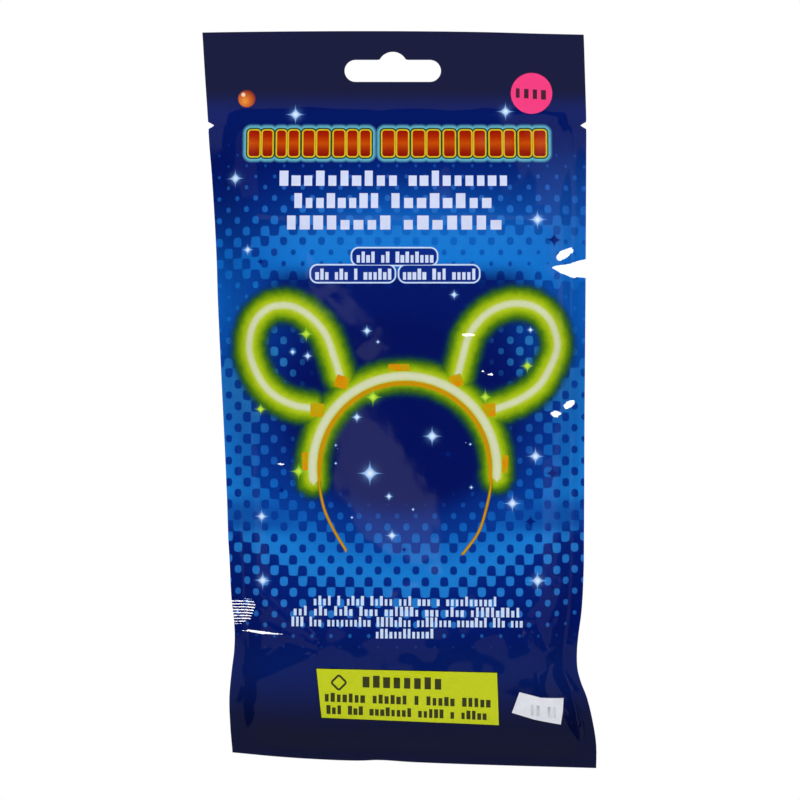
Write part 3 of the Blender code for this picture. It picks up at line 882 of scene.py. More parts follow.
def print_material():
    """The printed front: halftone night sky, glowing hoop, rows of tiles in place of words."""
    n = Net("printed_film")
    x, z, _ = n.xyz("film_xz")
    ax = x * 3.0 + 392.7
    ay = 49.8 - z * 3.0

    # --- sky colours by distance from the middle of the picture
    r = hyp((ax - 402.0) / 195.0, (ay - 392.0) / 172.0)
    wob = n.noise(22.0, 2.0, 0.5, n.object_coords())
    r = r + (wob - 0.5) * 0.10
    rr = r * 0.5
    dark = n.ramp(rr, [(0.0, srgb(2, 14, 90)), (0.28, srgb(3, 20, 98)), (0.35, srgb(4, 38, 122)), (0.43, srgb(5, 52, 140)),
                       (0.50, srgb(5, 48, 138)), (0.60, srgb(2, 32, 118)), (0.75, srgb(1, 20, 98)), (0.95, srgb(0, 14, 80))])
    light = n.ramp(rr, [(0.0, srgb(24, 60, 150)), (0.34, srgb(16, 66, 156)), (0.43, srgb(14, 94, 182)),
                        (0.53, srgb(22, 118, 202)), (0.65, srgb(34, 114, 196)), (0.76, srgb(30, 92, 176)),
                        (0.9, srgb(8, 50, 140))])
    tone = n.rampv(rr, [(0.0, 0.0), (0.30, 0.0), (0.35, 0.09), (0.40, 0.26), (0.44, 0.45), (0.485, 0.66),
                        (0.53, 0.70), (0.56, 0.58), (0.61, 0.40), (0.68, 0.26), (0.76, 0.14), (0.82, 0.0)])
    below = n.step(ay, 395.0, 440.0)
    tone = tone * below * n.step(ay, 652.0, 612.0)
    flank = n.step(abs(ax - 402.0), 98.0, 186.0, False) * 0.86 * n.step(ay, 335.0, 385.0) * n.step(ay, 505.0, 455.0)
    tone = tone.max(flank)
    # upper band: small dots that grow downwards, until they meet
    rise = n.rampv((ay - 140.0) / 120.0, [(0.0, 0.0), (0.22, 0.04), (0.4, 0.13), (0.56, 0.24), (0.68, 0.40), (0.78, 0.58),
                                          (0.9, 0.80), (1.0, 0.9)])
    across = n.rampv((ax - 200.0) / 400.0, [(0.0, 0.35), (0.12, 0.62), (0.22, 1.0), (0.8, 1.0), (0.92, 1.25), (1.0, 1.3)])
    upper = rise * across * n.step(ay, 300.0, 262.0)
    ears = (bell(n, ax, 545.0, 50.0, 40.0) * bell(n, ay, 350.0, 44.0, 60.0)).max(
        bell(n, ax, 258.0, 40.0, 48.0) * bell(n, ay, 362.0, 50.0, 60.0))
    tone = tone.max(upper).max(ears * 0.44).min(0.97)
    light = n.mix((ears * 1.2).sat(), light, srgb(34, 108, 172))
    # rows of round dots that meet as squares at half tone
    wave = ((ax - 256.0) * (2 * math.pi / 18.8)).cos() * ((ay - 548.0) * (math.pi / 10.93)).cos()
    lit = n.step(wave - (1.0 - tone * 2.0), -0.12, 0.12)
    # smooth light in the sky behind the dots
    band_y = bell(n, ay, 240.0, 40.0, 27.0)
    band = band_y * bell(n, ax, 398.0, 92.0, 165.0)
    left_glow = bell(n, ax, 205.0, 60.0, 46.0) * bell(n, ay, 305.0, 60.0, 52.0)
    right_glow = bell(n, ax, 600.0, 52.0, 60.0) * bell(n, ay, 300.0, 62.0, 66.0)
    dark = n.mix(band * 0.85, dark, srgb(16, 106, 200))
    light = n.mix(n.step(ay, 300.0, 262.0), light, n.ramp((ay - 150.0) / 110.0, [
        (0.0, srgb(20, 60, 150)), (0.4, srgb(34, 92, 178)), (0.8, srgb(26, 118, 206)), (1.0, srgb(20, 116, 206))]))
    light = n.mix(n.step(ax, 320.0, 230.0) * n.step(ay, 300.0, 262.0) * 0.6, light, srgb(8, 78, 166))
    sky = n.mix(lit, dark, light)
    right_top = bell(n, ax, 612.0, 75.0, 60.0) * bell(n, ay, 210.0, 58.0, 60.0)
    sky = n.mix(right_top * 0.6, sky, srgb(22, 84, 178))
    sky = n.mix((left_glow * 0.85 + right_glow * 0.95).sat(), sky, srgb(8, 92, 184))
    flat_band = n.step(ay, 488.0, 512.0) * n.step(ay, 540.0, 522.0) * n.step(abs(ax - 402.0), 70.0, 130.0)
    sky = n.mix(flat_band * 0.72, sky, srgb(8, 62, 152))
    low_band = n.step(ay, 258.0, 285.0) * n.step(abs(ax - 398.0), 150.0, 105.0) * n.step(ay, 402.0, 380.0)
    low_band = low_band * (1.0 - (ears * 1.4).sat())
    sky = n.mix(low_band * 0.95, sky, srgb(3, 20, 98))
    centre = n.step(hyp((ax - 402.0) / 128.0, (ay - 415.0) / 112.0), 1.0, 0.72)
    sky = n.mix(centre * 0.95, sky, srgb(2, 15, 88))
    # the print darkens into the header and the foot
    sky = n.mix(n.step(ay, 165.0, 118.0), sky, srgb(2, 22, 96))
    sky = n.mix(n.step(ay, 112.0, 86.0) * 0.95, sky, srgb(2, 7, 50))
    sky = n.mix(n.step(ay, 618.0, 668.0), sky, srgb(2, 24, 92))
    sky = n.mix(n.step(ay, 664.0, 732.0), sky, srgb(2, 7, 46))

    col = sky
    # --- the glow and the tubes of the picture
    ear_u, ear_s, crown_u, crown_s = n.rgba("tube")
    ear_d = abs(ear_s).max(ear_u - 0.45)
    crown_d = abs(crown_s).max(crown_u - 0.45)
    # the glow about the crown arc has the same reach as about the ears: the narrowing term inside the arc is multiplied
    # by zero
    crown_glow = crown_u + n.step(crown_s, 0.5, 2.5) * 0.0
    near = ear_u.min(crown_glow)
    rough = n.noise(420.0, 2.0, 0.6, n.object_coords())
    near = near + (rough - 0.5) * 1.3
    glow = n.step(near, 8.0, 4.9)
    hue = n.ramp(near * 0.1, [(0.0, srgb(186, 204, 60)), (0.16, srgb(172, 192, 34)), (0.27, srgb(144, 174, 14)),
                              (0.36, srgb(110, 148, 12)), (0.45, srgb(68, 112, 18)), (0.56, srgb(32, 78, 36)),
                              (0.68, srgb(12, 48, 56)), (0.85, srgb(6, 40, 84))])
    col = n.mix(glow, col, hue)
    hoop_u, hoop_s, _ = n.xyz("hoop")
    hoop_d = abs(hoop_s).max(hoop_u - 0.45)
    in_crown = n.step(ay, 486.0, 478.0)
    half = in_crown * 0.28 + 0.52
    hoop_col = n.mix(in_crown, n.ramp(hoop_d, [(0.0, srgb(200, 156, 24)), (0.3, srgb(166, 122, 12)), (0.6, srgb(70, 62, 20))]),
                     srgb(192, 140, 8))
    col = n.mix(n.step(hoop_d - half, 0.12, -0.12), col, hoop_col)
    # orange sockets and clips
    clips = None
    for a, b, hw, hh, deg in ((342, 382, 6.6, 6.2, -18), (317.5, 410, 7.0, 6.6, -2), (456, 381, 6.6, 6.2, 18),
                              (488.5, 410, 6.8, 6.6, 2), (398.7, 367.5, 10.5, 3.4, 0), (305.5, 461, 3, 9, 3),
                              (504.6, 463.7, 3, 9, -3)):
        d = turned_box(n, x, z, a, b, hw, hh, deg, 0.5)
        clips = d if clips is None else clips.min(d)
    tube_d = ear_d.min(crown_d)
    clip_col = n.mix(n.step(n.noise(260.0, 1.0, 0.5, n.object_coords()), 0.35, 0.65), srgb(212, 134, 4), srgb(186, 158, 10))
    col = n.mix(n.step(clips, 0.15, -0.15), col, clip_col)
    ear_col = n.ramp(ear_d * 0.5, [(0.0, srgb(206, 212, 176)), (0.32, srgb(202, 210, 164)), (0.62, srgb(188, 202, 100))])
    crown_col = n.ramp(crown_d * 0.5, [(0.0, srgb(208, 213, 182)), (0.42, srgb(204, 210, 168)), (0.74, srgb(188, 202, 100))])
    over_clip = n.step(clips, 0.1, -0.1)
    ear_mask = n.step(ear_d, 1.45, 1.2) * (1.0 - over_clip)
    col = n.mix(ear_mask, col, ear_col)
    col = n.mix(n.step(crown_d, 1.66, 1.42), col, crown_col)

    # --- small stars
    for name in ("spark_0", "spark_1", "spark_2"):
        sx, sz, mask, kind = n.rgba(name)
        a, b = abs(sx), abs(sz)
        s = (a + 0.0008).pow(0.44) + (b + 0.0008).pow(0.44)
        star = n.step(s, 1.02, 0.80)
        near_core = n.math('POWER', 2.718, -(sx * sx + sz * sz) * 22.0)
        halo = n.math('POWER', 2.718, -(sx * sx + sz * sz) * 7.0) * 0.30
        amount = ((star * 0.85 + halo + near_core * 0.5) * (mask > 0.5)).sat()
        tint = n.mix(near_core, srgb(120, 172, 236), srgb(224, 238, 255))
        green = n.mix(near_core, srgb(120, 190, 40), srgb(206, 228, 70))
        tint = n.mix(n.step(kind, 0.4, 0.6), tint, green)
        tint = n.mix(n.step(kind, 1.4, 1.6), tint, srgb(2, 30, 116))
        col = n.mix(amount, col, tint)

    # --- title: a row of chunky rounded bars in two groups, outlined
    blocks = None
    for start, widths, split in ((248.5, (13, 12, 11, 12, 13, 14, 13, 12, 12), (2, 4, 6)),
                                 (382.5, (14, 13, 14, 14, 13, 14, 13, 14, 12, 14, 14), (2, 4, 5, 7, 9))):
        at = start
        for k, w in enumerate(widths):
            if k in split:
                at += 1.6
            d = box_sdf(n, x, z, AX(at), AX(at + w - 2.6), AZ(129.5), AZ(155.5), 0.8)
            blocks = d if blocks is None else blocks.min(d)
            at += w + 0.9
    title = n.ramp((ay - 128.0) / 29.0, [(0.0, srgb(136, 12, 2)), (0.25, srgb(164, 34, 2)), (0.5, srgb(188, 72, 6)),
                                         (0.75, srgb(150, 34, 6)), (1.0, srgb(116, 6, 2))])
    halo = n.step(blocks, 2.5, 1.1)
    col = n.mix(halo * 0.85, col, srgb(104, 186, 206))
    col = n.mix(n.step(blocks, 1.1, 0.92), col, srgb(8, 66, 42))
    col = n.mix(n.step(blocks, 0.62, 0.46), col, srgb(206, 178, 34))
    col = n.mix(n.step(blocks, 0.14, 0.0), col, title)

    # --- three pale lines under it
    white = srgb(204, 212, 240)
    lines = tile_row(n, x, z, 278, 399, 170.5, 186, (10,), 3.0, gap=0.3)
    for a0, a1, b0, b1, count, seed in ((407, 509, 170.5, 186, 9, 41.0), (293, 380, 193.5, 208.5, 8, 78.0),
                                        (389, 493, 193.5, 208.5, 8, 113.0), (285, 392, 216, 230, 8, 150.0),
                                        (401, 503, 216, 230, 7, 187.0)):
        lines = lines.max(tile_row(n, x, z, a0, a1, b0, b1, (count,), seed, gap=0.3))
    col = n.mix(lines, col, white)

    # --- outlined strap line
    strap = box_sdf(n, x, z, AX(351), AX(438), AZ(247.5), AZ(266.5), 2.6)
    strap = strap.min(box_sdf(n, x, z, AX(310), AX(396), AZ(264.5), AZ(283.5), 2.6))
    strap = strap.min(box_sdf(n, x, z, AX(398), AX(480), AZ(264.5), AZ(283.5), 2.6))
    col = n.mix(n.step(strap, 0.15, 0.0), col, srgb(190, 212, 244))
    col = n.mix(n.step(strap, -0.38, -0.5), col, srgb(12, 40, 128))
    tag = tile_row(n, x, z, 356, 434, 252, 263, (4, 2, 8), 7.0)
    tag = tag.max(tile_row(n, x, z, 315, 392, 269, 280, (3, 3, 1, 6), 57.0))
    tag = tag.max(tile_row(n, x, z, 402, 476, 269, 280, (5, 3, 5), 99.0))
    col = n.mix(tag, col, srgb(204, 216, 244))

    # --- body lines
    body = tile_row(n, x, z, 313, 497, 595.5, 605, (4, 1, 4, 5, 3, 3, 1, 11), 5.0, lean=-0.006, gap=0.42)
    body = body.max(tile_row(n, x, z, 293, 520, 606, 615.5, (3, 3, 4, 4, 7, 3, 4, 10), 205.0, lean=-0.01, gap=0.42))
    body = body.max(tile_row(n, x, z, 291, 523, 616.5, 626, (3, 3, 10, 8, 8, 7, 3, 3), 405.0, lean=-0.006, gap=0.42))
    body = body.max(tile_row(n, x, z, 375, 434, 628, 637.5, (13,), 605.0, gap=0.42))
    col = n.mix(body * 0.92, col, srgb(204, 222, 246))

    # --- plain yellow panel with dark rows
    edge = None
    pts = [A(*p) for p in PANEL]
    for k in range(4):
        (x0, z0), (x1, z1) = pts[k], pts[(k + 1) % 4]
        length = math.hypot(x1 - x0, z1 - z0)
        nx_, nz_ = -(z1 - z0) / length, (x1 - x0) / length      # outward, as the corners run clockwise
        d = x * nx_ + z * nz_ - (x0 * nx_ + z0 * nz_)
        edge = d if edge is None else edge.max(d)
    col = n.mix(n.step(edge, 0.36, 0.26), col, srgb(18, 24, 26))
    panel = n.mix(n.noise(30.0, 1.0, 0.5, n.object_coords()), srgb(184, 196, 20), srgb(192, 202, 30))
    col = n.mix(n.step(edge, 0.04, -0.06), col, panel)
    rows = tile_row(n, x, z, 361, 443, 675.5, 687.5, (8,), 31.0, lean=-0.03, low=0.9, gap=0.34)
    rows = rows.max(tile_row(n, x, z, 324, 491, 694.5, 703.5, (7, 6, 1, 5, 5), 61.0, low=0.85, lean=-0.037))
    rows = rows.max(tile_row(n, x, z, 326, 487, 707, 716, (3, 3, 8, 5, 1, 5), 131.0, low=0.75, lean=-0.04))
    mark = turned_box(n, x, z, 339, 681.5, 6.4, 6.4, 45, 1.0)
    rows = rows.max(n.step(mark, 0.1, -0.05) * n.step(mark, -0.75, -0.6))
    col = n.mix(rows, col, srgb(52, 54, 22))

    # --- amber ball, upper left
    ball = hyp(ax - 246.0, ay - 97.0)
    shade = n.ramp(hyp(ax - 244.0, ay - 99.5) / 11.0, [(0.0, srgb(232, 150, 60)), (0.5, srgb(206, 98, 30)), (1.0, srgb(128, 34, 20))])
    col = n.mix(n.step(ball, 9.2, 8.0), col, shade)
    col = n.mix(n.step(hyp(ax - 242.5, ay - 93.0), 2.6, 1.4) * 0.8, col, srgb(248, 226, 200))

    # --- print grain: tiny rosette variation in the ink
    grain = n.noise(900.0, 2.0, 0.6, n.object_coords())
    col = n.mix((grain - 0.5) * 0.35, col, (1.0, 1.0, 1.0), 'OVERLAY')
    n.put(n.bsdf.inputs["Base Color"], col)

    # --- the clear laminate over it
    n.bsdf.inputs["IOR"].default_value = 1.5
    n.bsdf.inputs["Specular IOR Level"].default_value = 0.5
    scuff = n.noise(70.0, 4.0, 0.6, n.object_coords())
    n.put(n.bsdf.inputs["Roughness"], n.step(scuff, 0.35, 0.8, False) * 0.02 + 0.014)
    fine = n.noise(240.0, 3.0, 0.55, n.object_coords())
    broad = n.noise(60.0, 2.0, 0.5, n.object_coords())
    normal = n.bump(fine * 0.12 + broad, 0.03, 0.0006)
    # little creased faces that stand at their own angle
    face = n.attr("crease_face")
    grit = n.noise(1500.0, 1.0, 0.5, n.object_coords())
    sharp = n.step(E(n, face.outputs["Alpha"]) + (grit - 0.5) * 0.5, 0.42, 0.58)
    ribs = ((ay - 599.0) * (2 * math.pi / 2.9)).cos() + (n.noise(900.0, 2.0, 0.5, n.object_coords()) - 0.5) * 2.4
    ribbed = n.step(ribs, -0.1, 0.5) * n.step(ax, 262.0, 258.0) * n.step(ay, 627.0, 625.0)
    smooth_face = (n.step(ax, 258.0, 262.0) + n.step(ay, 625.0, 627.0)).sat()
    pick = n.node("ShaderNodeMix", data_type='VECTOR')
    n.put(pick.inputs[0], sharp * (ribbed + smooth_face).sat())
    n.nt.links.new(normal, pick.inputs[4])
    n.nt.links.new(face.outputs["Vector"], pick.inputs[5])
    unit = n.node("ShaderNodeVectorMath", operation='NORMALIZE')
    n.nt.links.new(pick.outputs[1], unit.inputs[0])
    n.nt.links.new(unit.outputs[0], n.bsdf.inputs["Normal"])
    return n.mat


def inner_film_material():
    """Silvery inside of the laminate."""
    n = Net("silver_film")
    fine = n.noise(180.0, 4.0, 0.6, n.object_coords())
    n.put(n.bsdf.inputs["Base Color"], n.mix(fine, srgb(168, 170, 176), srgb(206, 208, 212)))
    n.bsdf.inputs["Metallic"].default_value = 0.85
    n.put(n.bsdf.inputs["Roughness"], fine * 0.16 + 0.24)
    n.put(n.bsdf.inputs["Normal"], n.bump(n.noise(90.0, 3.0, 0.5, n.object_coords()), 0.25, 0.0008))
    return n.mat


def back_film_material():
    """Plain blue back: soft vignette, faint dots at the sides, a blank pale panel with rows of tiles."""
    n = Net("back_print_film")
    x, z, _ = n.xyz("film_xz")
    ax = x * 3.0 + 392.7
    ay = 49.8 - z * 3.0
    r = hyp((ax - 402.0) / 230.0, (ay - 392.0) / 300.0)
    dark = n.ramp(r * 0.6, [(0.0, srgb(8, 66, 160)), (0.45, srgb(4, 44, 134)), (0.8, srgb(0, 22, 92)), (1.0, srgb(0, 12, 66))])
    light = n.ramp(r * 0.6, [(0.0, srgb(24, 100, 190)), (0.6, srgb(30, 104, 196)), (1.0, srgb(6, 40, 120))])
    tone = n.rampv(r * 0.6, [(0.0, 0.0), (0.25, 0.05), (0.5, 0.34), (0.66, 0.2), (0.85, 0.0)])
    wave = (x * (2 * math.pi / 6.62) + 0.9).cos() * (z * (math.pi / 3.52) + 0.35).cos()
    col = n.mix(n.step(wave - (1.0 - tone * 2.0), -0.1, 0.1), dark, light)
    col = n.mix(n.step(ay, 128.0, 84.0), col, srgb(3, 8, 52))
    col = n.mix(n.step(ay, 650.0, 735.0), col, srgb(3, 8, 52))
    panel = box_sdf(n, x, z, -38.0, 44.0, -196.0, -120.0, 3.0)
    col = n.mix(n.step(panel, 0.1, -0.05), col, srgb(214, 218, 226))
    rows = None
    for k in range(9):
        groups = [(5, 3, 7, 4, 6), (8, 2, 6, 5, 4), (3, 9, 4, 6), (6, 6, 3, 8)][k % 4]
        m = tile_row(n, x, z, 296, 512 - 17 * ((k * 5) % 3), 428 + 22 * k, 438 + 22 * k, groups, 17.0 + 60 * k)
        rows = m if rows is None else rows.max(m)
    col = n.mix(rows, col, srgb(40, 48, 92))
    grain = n.noise(900.0, 2.0, 0.6, n.object_coords())
    col = n.mix((grain - 0.5) * 0.35, col, (1.0, 1.0, 1.0), 'OVERLAY')
    n.put(n.bsdf.inputs["Base Color"], col)
    scuff = n.noise(70.0, 4.0, 0.6, n.object_coords())
    n.put(n.bsdf.inputs["Roughness"], n.step(scuff, 0.35, 0.8, False) * 0.04 + 0.05)
    broad = n.noise(60.0, 3.0, 0.5, n.object_coords())
    n.put(n.bsdf.inputs["Normal"], n.bump(broad, 0.07, 0.0006))
    return n.mat


front_mat = print_material()
inner_mat = inner_film_material()
back_mat = back_film_material()


def dress(ob, outer, front, body, node):
    ob.data.materials.clear()
    ob.data.materials.append(outer)
    ob.data.materials.append(inner_mat)
    lay_artwork(ob.data, front)
    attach(ob, body)
    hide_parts(node)
    return ob


dress(film("header_front_web", True, True, 128, 1.0), front_mat, True, "header", "header_front_film")
dress(film("pocket_front_web", True, False, 128, 1.0), front_mat, True, "pocket", "pocket_front_film")
dress(film("header_back_web", False, True, 100, 1.3), back_mat, False, "header", "header_back_film")
dress(film("pocket_back_web", False, False, 100, 1.3), back_mat, False, "pocket", "pocket_back_film")


# =============================================================== stickers
def sticker(name, outline_grid, lift, thick, mat, body, node, upper, curl=None):
    """A paper label laid over the front film: rings of points inside an outline, then given thickness."""
    pts = np.array(outline_grid)
    centre = pts.mean(0)
    rings = 10
    verts, faces = [], []
    n = len(pts)
    for k in range(rings + 1):
        t = k / rings
        ring = centre + (pts - centre) * (1 - t) if k < rings else centre[None, :]
        for p in ring:
            verts.append(p)
    for k in range(rings - 1):
        for i in range(n):
            j = (i + 1) % n
            faces.append([k * n + i, (k + 1) * n + i, (k + 1) * n + j, k * n + j])
    last = (rings - 1) * n
    for i in range(n):
        faces.append([last + i, rings * n, last + (i + 1) % n])
    v = np.array(verts)
    x, z = v[:, 0], v[:, 1]
    h = film_out(x[None, :], z[None, :], True, upper)[0] + lift
    if curl is not None:
        h = h + curl(x, z)
    co = np.stack([x, -h, z], -1) * MM
    ob = mesh_object(name, co, faces)
    bm = bmesh.new()
    bm.from_mesh(ob.data)
    bm.normal_update()
    if sum(f.normal.y * f.calc_area() for f in bm.faces) > 0:
        bmesh.ops.reverse_faces(bm, faces=bm.faces[:])
    bm.to_mesh(ob.data)
    bm.free()
    solid = ob.modifiers.new("paper", 'SOLIDIFY')
    solid.thickness = thick * MM
    solid.offset = -1.0
    mesh = evaluated_mesh(ob, name)
    ob.modifiers.clear()
    ob.data = mesh
    mesh.shade_smooth()
    mesh.set_sharp_from_angle(angle=math.radians(40))
    mesh.materials.clear()
    mesh.materials.append(mat)
    vv = np.empty(len(mesh.vertices) * 3)
    mesh.vertices.foreach_get("co", vv)
    vv = vv.reshape(-1, 3) / MM
    write_vector(mesh, "film_xz", np.stack([vv[:, 0], vv[:, 2], np.zeros(len(vv))], -1))
    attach(ob, body)
    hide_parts(node)
    return ob


def dot_material():
    n = Net("pink_dot_paper")
    x, z, _ = n.xyz("film_xz")
    fibre = n.noise(500.0, 4.0, 0.6, n.object_coords())
    col = n.mix(fibre, srgb(238, 40, 118), srgb(246, 56, 130))
    row = tile_row(n, x, z, 514, 548.5, 87.5, 97, (4,), 12.0, lean=-0.07, low=1.0, gap=0.5)
    col = n.mix(row, col, srgb(70, 8, 34))
    n.put(n.bsdf.inputs["Base Color"], col)
    n.put(n.bsdf.inputs["Roughness"], fibre * 0.2 + 0.38)
    n.put(n.bsdf.inputs["Normal"], n.bump(fibre, 0.15, 0.0002))
    return n.mat


def price_material():
    n = Net("white_label_paper")
    x, z, _ = n.xyz("film_xz")
    fibre = n.noise(400.0, 5.0, 0.6, n.object_coords())
    worn = n.noise(120.0, 3.0, 0.5, n.object_coords())
    col = n.mix(fibre, srgb(206, 208, 216), srgb(226, 228, 234))
    col = n.mix(n.step(worn, 0.58, 0.7) * 0.4, col, srgb(176, 180, 192))
    row = tile_row(n, x, z, 529, 557, 705, 715.5, (2, 2), 3.0, lean=-0.12, low=1.0, gap=0.5)
    faded = row * n.step(worn, 0.72, 0.42)
    col = n.mix(faded * 0.75, col, srgb(108, 108, 116))
    n.put(n.bsdf.inputs["Base Color"], col)
    n.put(n.bsdf.inputs["Roughness"], fibre * 0.2 + 0.5)
    n.put(n.bsdf.inputs["Normal"], n.bump(fibre, 0.3, 0.0003))
    return n.mat


dot_c = A(532.2, 91.7)
dot_pts = [(dot_c[0] + 6.95 * math.sin(math.tau * k / 72), dot_c[1] + 6.85 * math.cos(math.tau * k / 72)) for k in range(72)]
sticker("colour_dot", dot_pts, 0.12, 0.1, dot_material(), "header", "colour_dot_sticker", True)


def edge_points(corners, per=10):
    out = []
    for (a0, b0), (a1, b1) in zip(corners, corners[1:] + corners[:1]):
        for k in range(per):
            t = k / per
            out.append(A(a0 + (a1 - a0) * t, b0 + (b1 - b0) * t))
    return out


price_pts = edge_points([(519, 691), (540, 696.5), (563.5, 697.8), (562.5, 711), (560.5, 723.8), (534, 718.5), (511.5, 711.5)])
sticker("price_label", price_pts, 0.3, 0.1, price_material(), "pocket", "price_sticker", False,
        curl=lambda x, z: 0.25 * np.clip((x - AX(548)) / 5.0, 0, 1) ** 2)


# =============================================================== contents
def lathe(name, profile, x, y, segments, mat):
    """Turned closed body: profile is (radius, height) from the axis at one end to the axis at the other."""
    verts, faces, rings = [], [], []
    for r, zz in profile:
        if r < 1e-6:
            rings.append([len(verts)])
            verts.append((x * MM, y * MM, zz * MM))
        else:
            ring = []
            for k in range(segments):
                a = math.tau * k / segments
                ring.append(len(verts))
                verts.append(((x + r * math.cos(a)) * MM, (y + r * math.sin(a)) * MM, zz * MM))
            rings.append(ring)
    for a, b in zip(rings[:-1], rings[1:]):
        for k in range(segments):
            j = (k + 1) % segments
            if len(a) == 1:
                faces.append([a[0], b[k], b[j]])
            elif len(b) == 1:
                faces.append([a[k], b[0], a[j]])
            else:
                faces.append([a[k], b[k], b[j], a[j]])
    ob = mesh_object(name, verts, faces)
    bm = bmesh.new()
    bm.from_mesh(ob.data)
    bmesh.ops.recalc_face_normals(bm, faces=bm.faces[:])
    bm.to_mesh(ob.data)
    bm.free()
    ob.data.shade_smooth()
    ob.data.set_sharp_from_angle(angle=math.radians(50))
    ob.data.materials.append(mat)
    return ob


def tube_material():
    n = Net("pink_tube_plastic")
    cloudy = n.noise(40.0, 3.0, 0.5, n.object_coords())
    n.put(n.bsdf.inputs["Base Color"], n.mix(cloudy, srgb(250, 96, 150), srgb(255, 140, 182)))
    n.bsdf.inputs["Transmission Weight"].default_value = 0.55
    n.bsdf.inputs["IOR"].default_value = 1.49
    n.put(n.bsdf.inputs["Roughness"], n.noise(300.0, 3.0, 0.5, n.object_coords()) * 0.12 + 0.2)
    n.put(n.bsdf.inputs["Normal"], n.bump(n.noise(120.0, 2.0, 0.5, n.object_coords()), 0.1, 0.0004))
    return n.mat


def moulded_material(name, dark, light, rough):
    n = Net(name)
    flow = n.noise(35.0, 3.0, 0.5, n.object_coords(), 0.6)
    n.put(n.bsdf.inputs["Base Color"], n.mix(flow, dark, light))
    grain = n.noise(650.0, 3.0, 0.6, n.object_coords())
    n.put(n.bsdf.inputs["Roughness"], grain * 0.12 + rough)
    n.put(n.bsdf.inputs["Normal"], n.bump(grain, 0.12, 0.0002))
    return n.mat


def glass_material():
    n = Net("ampoule_glass")
    streak = n.noise(50.0, 2.0, 0.5, n.object_coords())
    n.put(n.bsdf.inputs["Base Color"], n.mix(streak, srgb(250, 214, 226), srgb(255, 236, 242)))
    n.bsdf.inputs["Transmission Weight"].default_value = 0.9
    n.bsdf.inputs["IOR"].default_value = 1.5
    n.put(n.bsdf.inputs["Roughness"], streak * 0.05 + 0.03)
    return n.mat


def centre_of(node):
    lo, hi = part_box(node)
    return [(lo[k] + hi[k]) / 2 / MM for k in range(3)], lo[2] / MM, hi[2] / MM


tube_mat = tube_material()
plug_mat = moulded_material("plug_plastic", srgb(248, 150, 186), srgb(255, 186, 208), 0.28)
glass_mat = glass_material()
amber_mat = moulded_material("amber_plastic", srgb(216, 112, 16), srgb(238, 150, 34), 0.24)
clip_mat = moulded_material("amber_clip_plastic", srgb(222, 124, 20), srgb(240, 160, 44), 0.28)

for k in (1, 2, 3):
    (cx, cy, _), low, top = centre_of("stick_%d_tube" % k)
    ro, rb = 2.5, 1.8
    profile = [(0.0, low), (1.1, low + 0.02), (1.7, low + 0.2), (2.15, low + 0.6), (2.4, low + 1.1), (ro, low + 1.8),
               (ro, low + 60), (ro, low + 130), (ro, top - 0.5), (ro - 0.12, top - 0.15), (ro - 0.4, top),
               (rb + 0.15, top), (rb, top - 0.2), (rb, low + 60), (rb, low + 4.4), (1.2, low + 3.3), (0.0, low + 3.0)]
    tube = lathe("stick_%d_outer" % k, profile, cx, cy, 40, tube_mat)
    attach(tube, "stick_%d" % k)
    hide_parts("stick_%d_tube" % k)
    (cx, cy, _), low, top = centre_of("stick_%d_plug" % k)
    rp = 1.5
    plug = lathe("stick_%d_stopper" % k,
                 [(0.0, low), (1.0, low + 0.05), (1.35, low + 0.7), (rp, low + 1.1), (rp - 0.12, low + 1.5), (rp, low + 1.9),
                  (rp - 0.12, low + 2.4), (rp, low + 2.8), (rp, top - 0.3), (rp - 0.25, top), (0.5, top - 0.05),
                  (0.3, top - 0.35), (0.0, top - 0.4)], cx, cy, 32, plug_mat)
    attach(plug, "stick_%d" % k)
    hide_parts("stick_%d_plug" % k)
    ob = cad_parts["stick_%d_ampoule" % k]
    ob.data.materials.clear()
    ob.data.materials.append(glass_mat)

for node, mat in (("hair_hoop", amber_mat), ("ear_connector_left", clip_mat), ("ear_connector_right", clip_mat),
                  ("centre_clip", clip_mat)):
    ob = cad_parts[node]
    ob.data.materials.clear()
    ob.data.materials.append(mat)

# =============================================================== floor and light
floor = mesh_object("floor", [(-0.7, -0.9, -0.30), (0.7, -0.9, -0.30), (0.7, 0.24, -0.30), (-0.7, 0.24, -0.30)], [[0, 1, 2, 3]])
fn = Net("floor_pale")
fn.put(fn.bsdf.inputs["Base Color"], fn.mix(fn.noise(3.0, 2.0, 0.5, fn.object_coords()), (0.86, 0.86, 0.86), (0.9, 0.9, 0.9)))
fn.bsdf.inputs["Roughness"].default_value = 0.7
floor.data.materials.append(fn.mat)
floor.visible_glossy = False


def area(name, place, aim, size, power, colour=(1, 1, 1)):
    data = bpy.data.lights.new(name, 'AREA')
    data.shape = 'RECTANGLE'
    data.size, data.size_y = size
    data.energy = power
    data.color = colour
    ob = link(bpy.data.objects.new(name, data))
    ob.location = place
    direction = Vector(aim) - Vector(place)
    ob.rotation_euler = direction.to_track_quat('-Z', 'Y').to_euler()
    return ob


area("key_top", (0.0, -0.95, 1.35), (0.0, 0.0, -0.12), (1.0, 0.2), 17)
for name, side in (("left_soft", -1), ("right_soft", 1)):
    soft = area(name, (1.5 * side, -0.9, 0.35), (0.0, 0.0, -0.12), (0.3, 1.0), 7)
    soft.visible_glossy = False                        # fill only, so that no streak shows on the rolled edges
area("back_soft", (0.3, 1.6, 0.9), (0.0, 0.0, -0.12), (1.2, 0.8), 14)

# surroundings: white behind the object, and behind the camera dim cards that the glossy film mirrors
world = bpy.data.worlds.new("studio")
scene.world = world
world.use_nodes = True
wt = world.node_tree
for nd in list(wt.nodes):
    wt.nodes.remove(nd)


class WorldNet(Net):
    def __init__(self):
        self.nt = wt
        self.count = 0


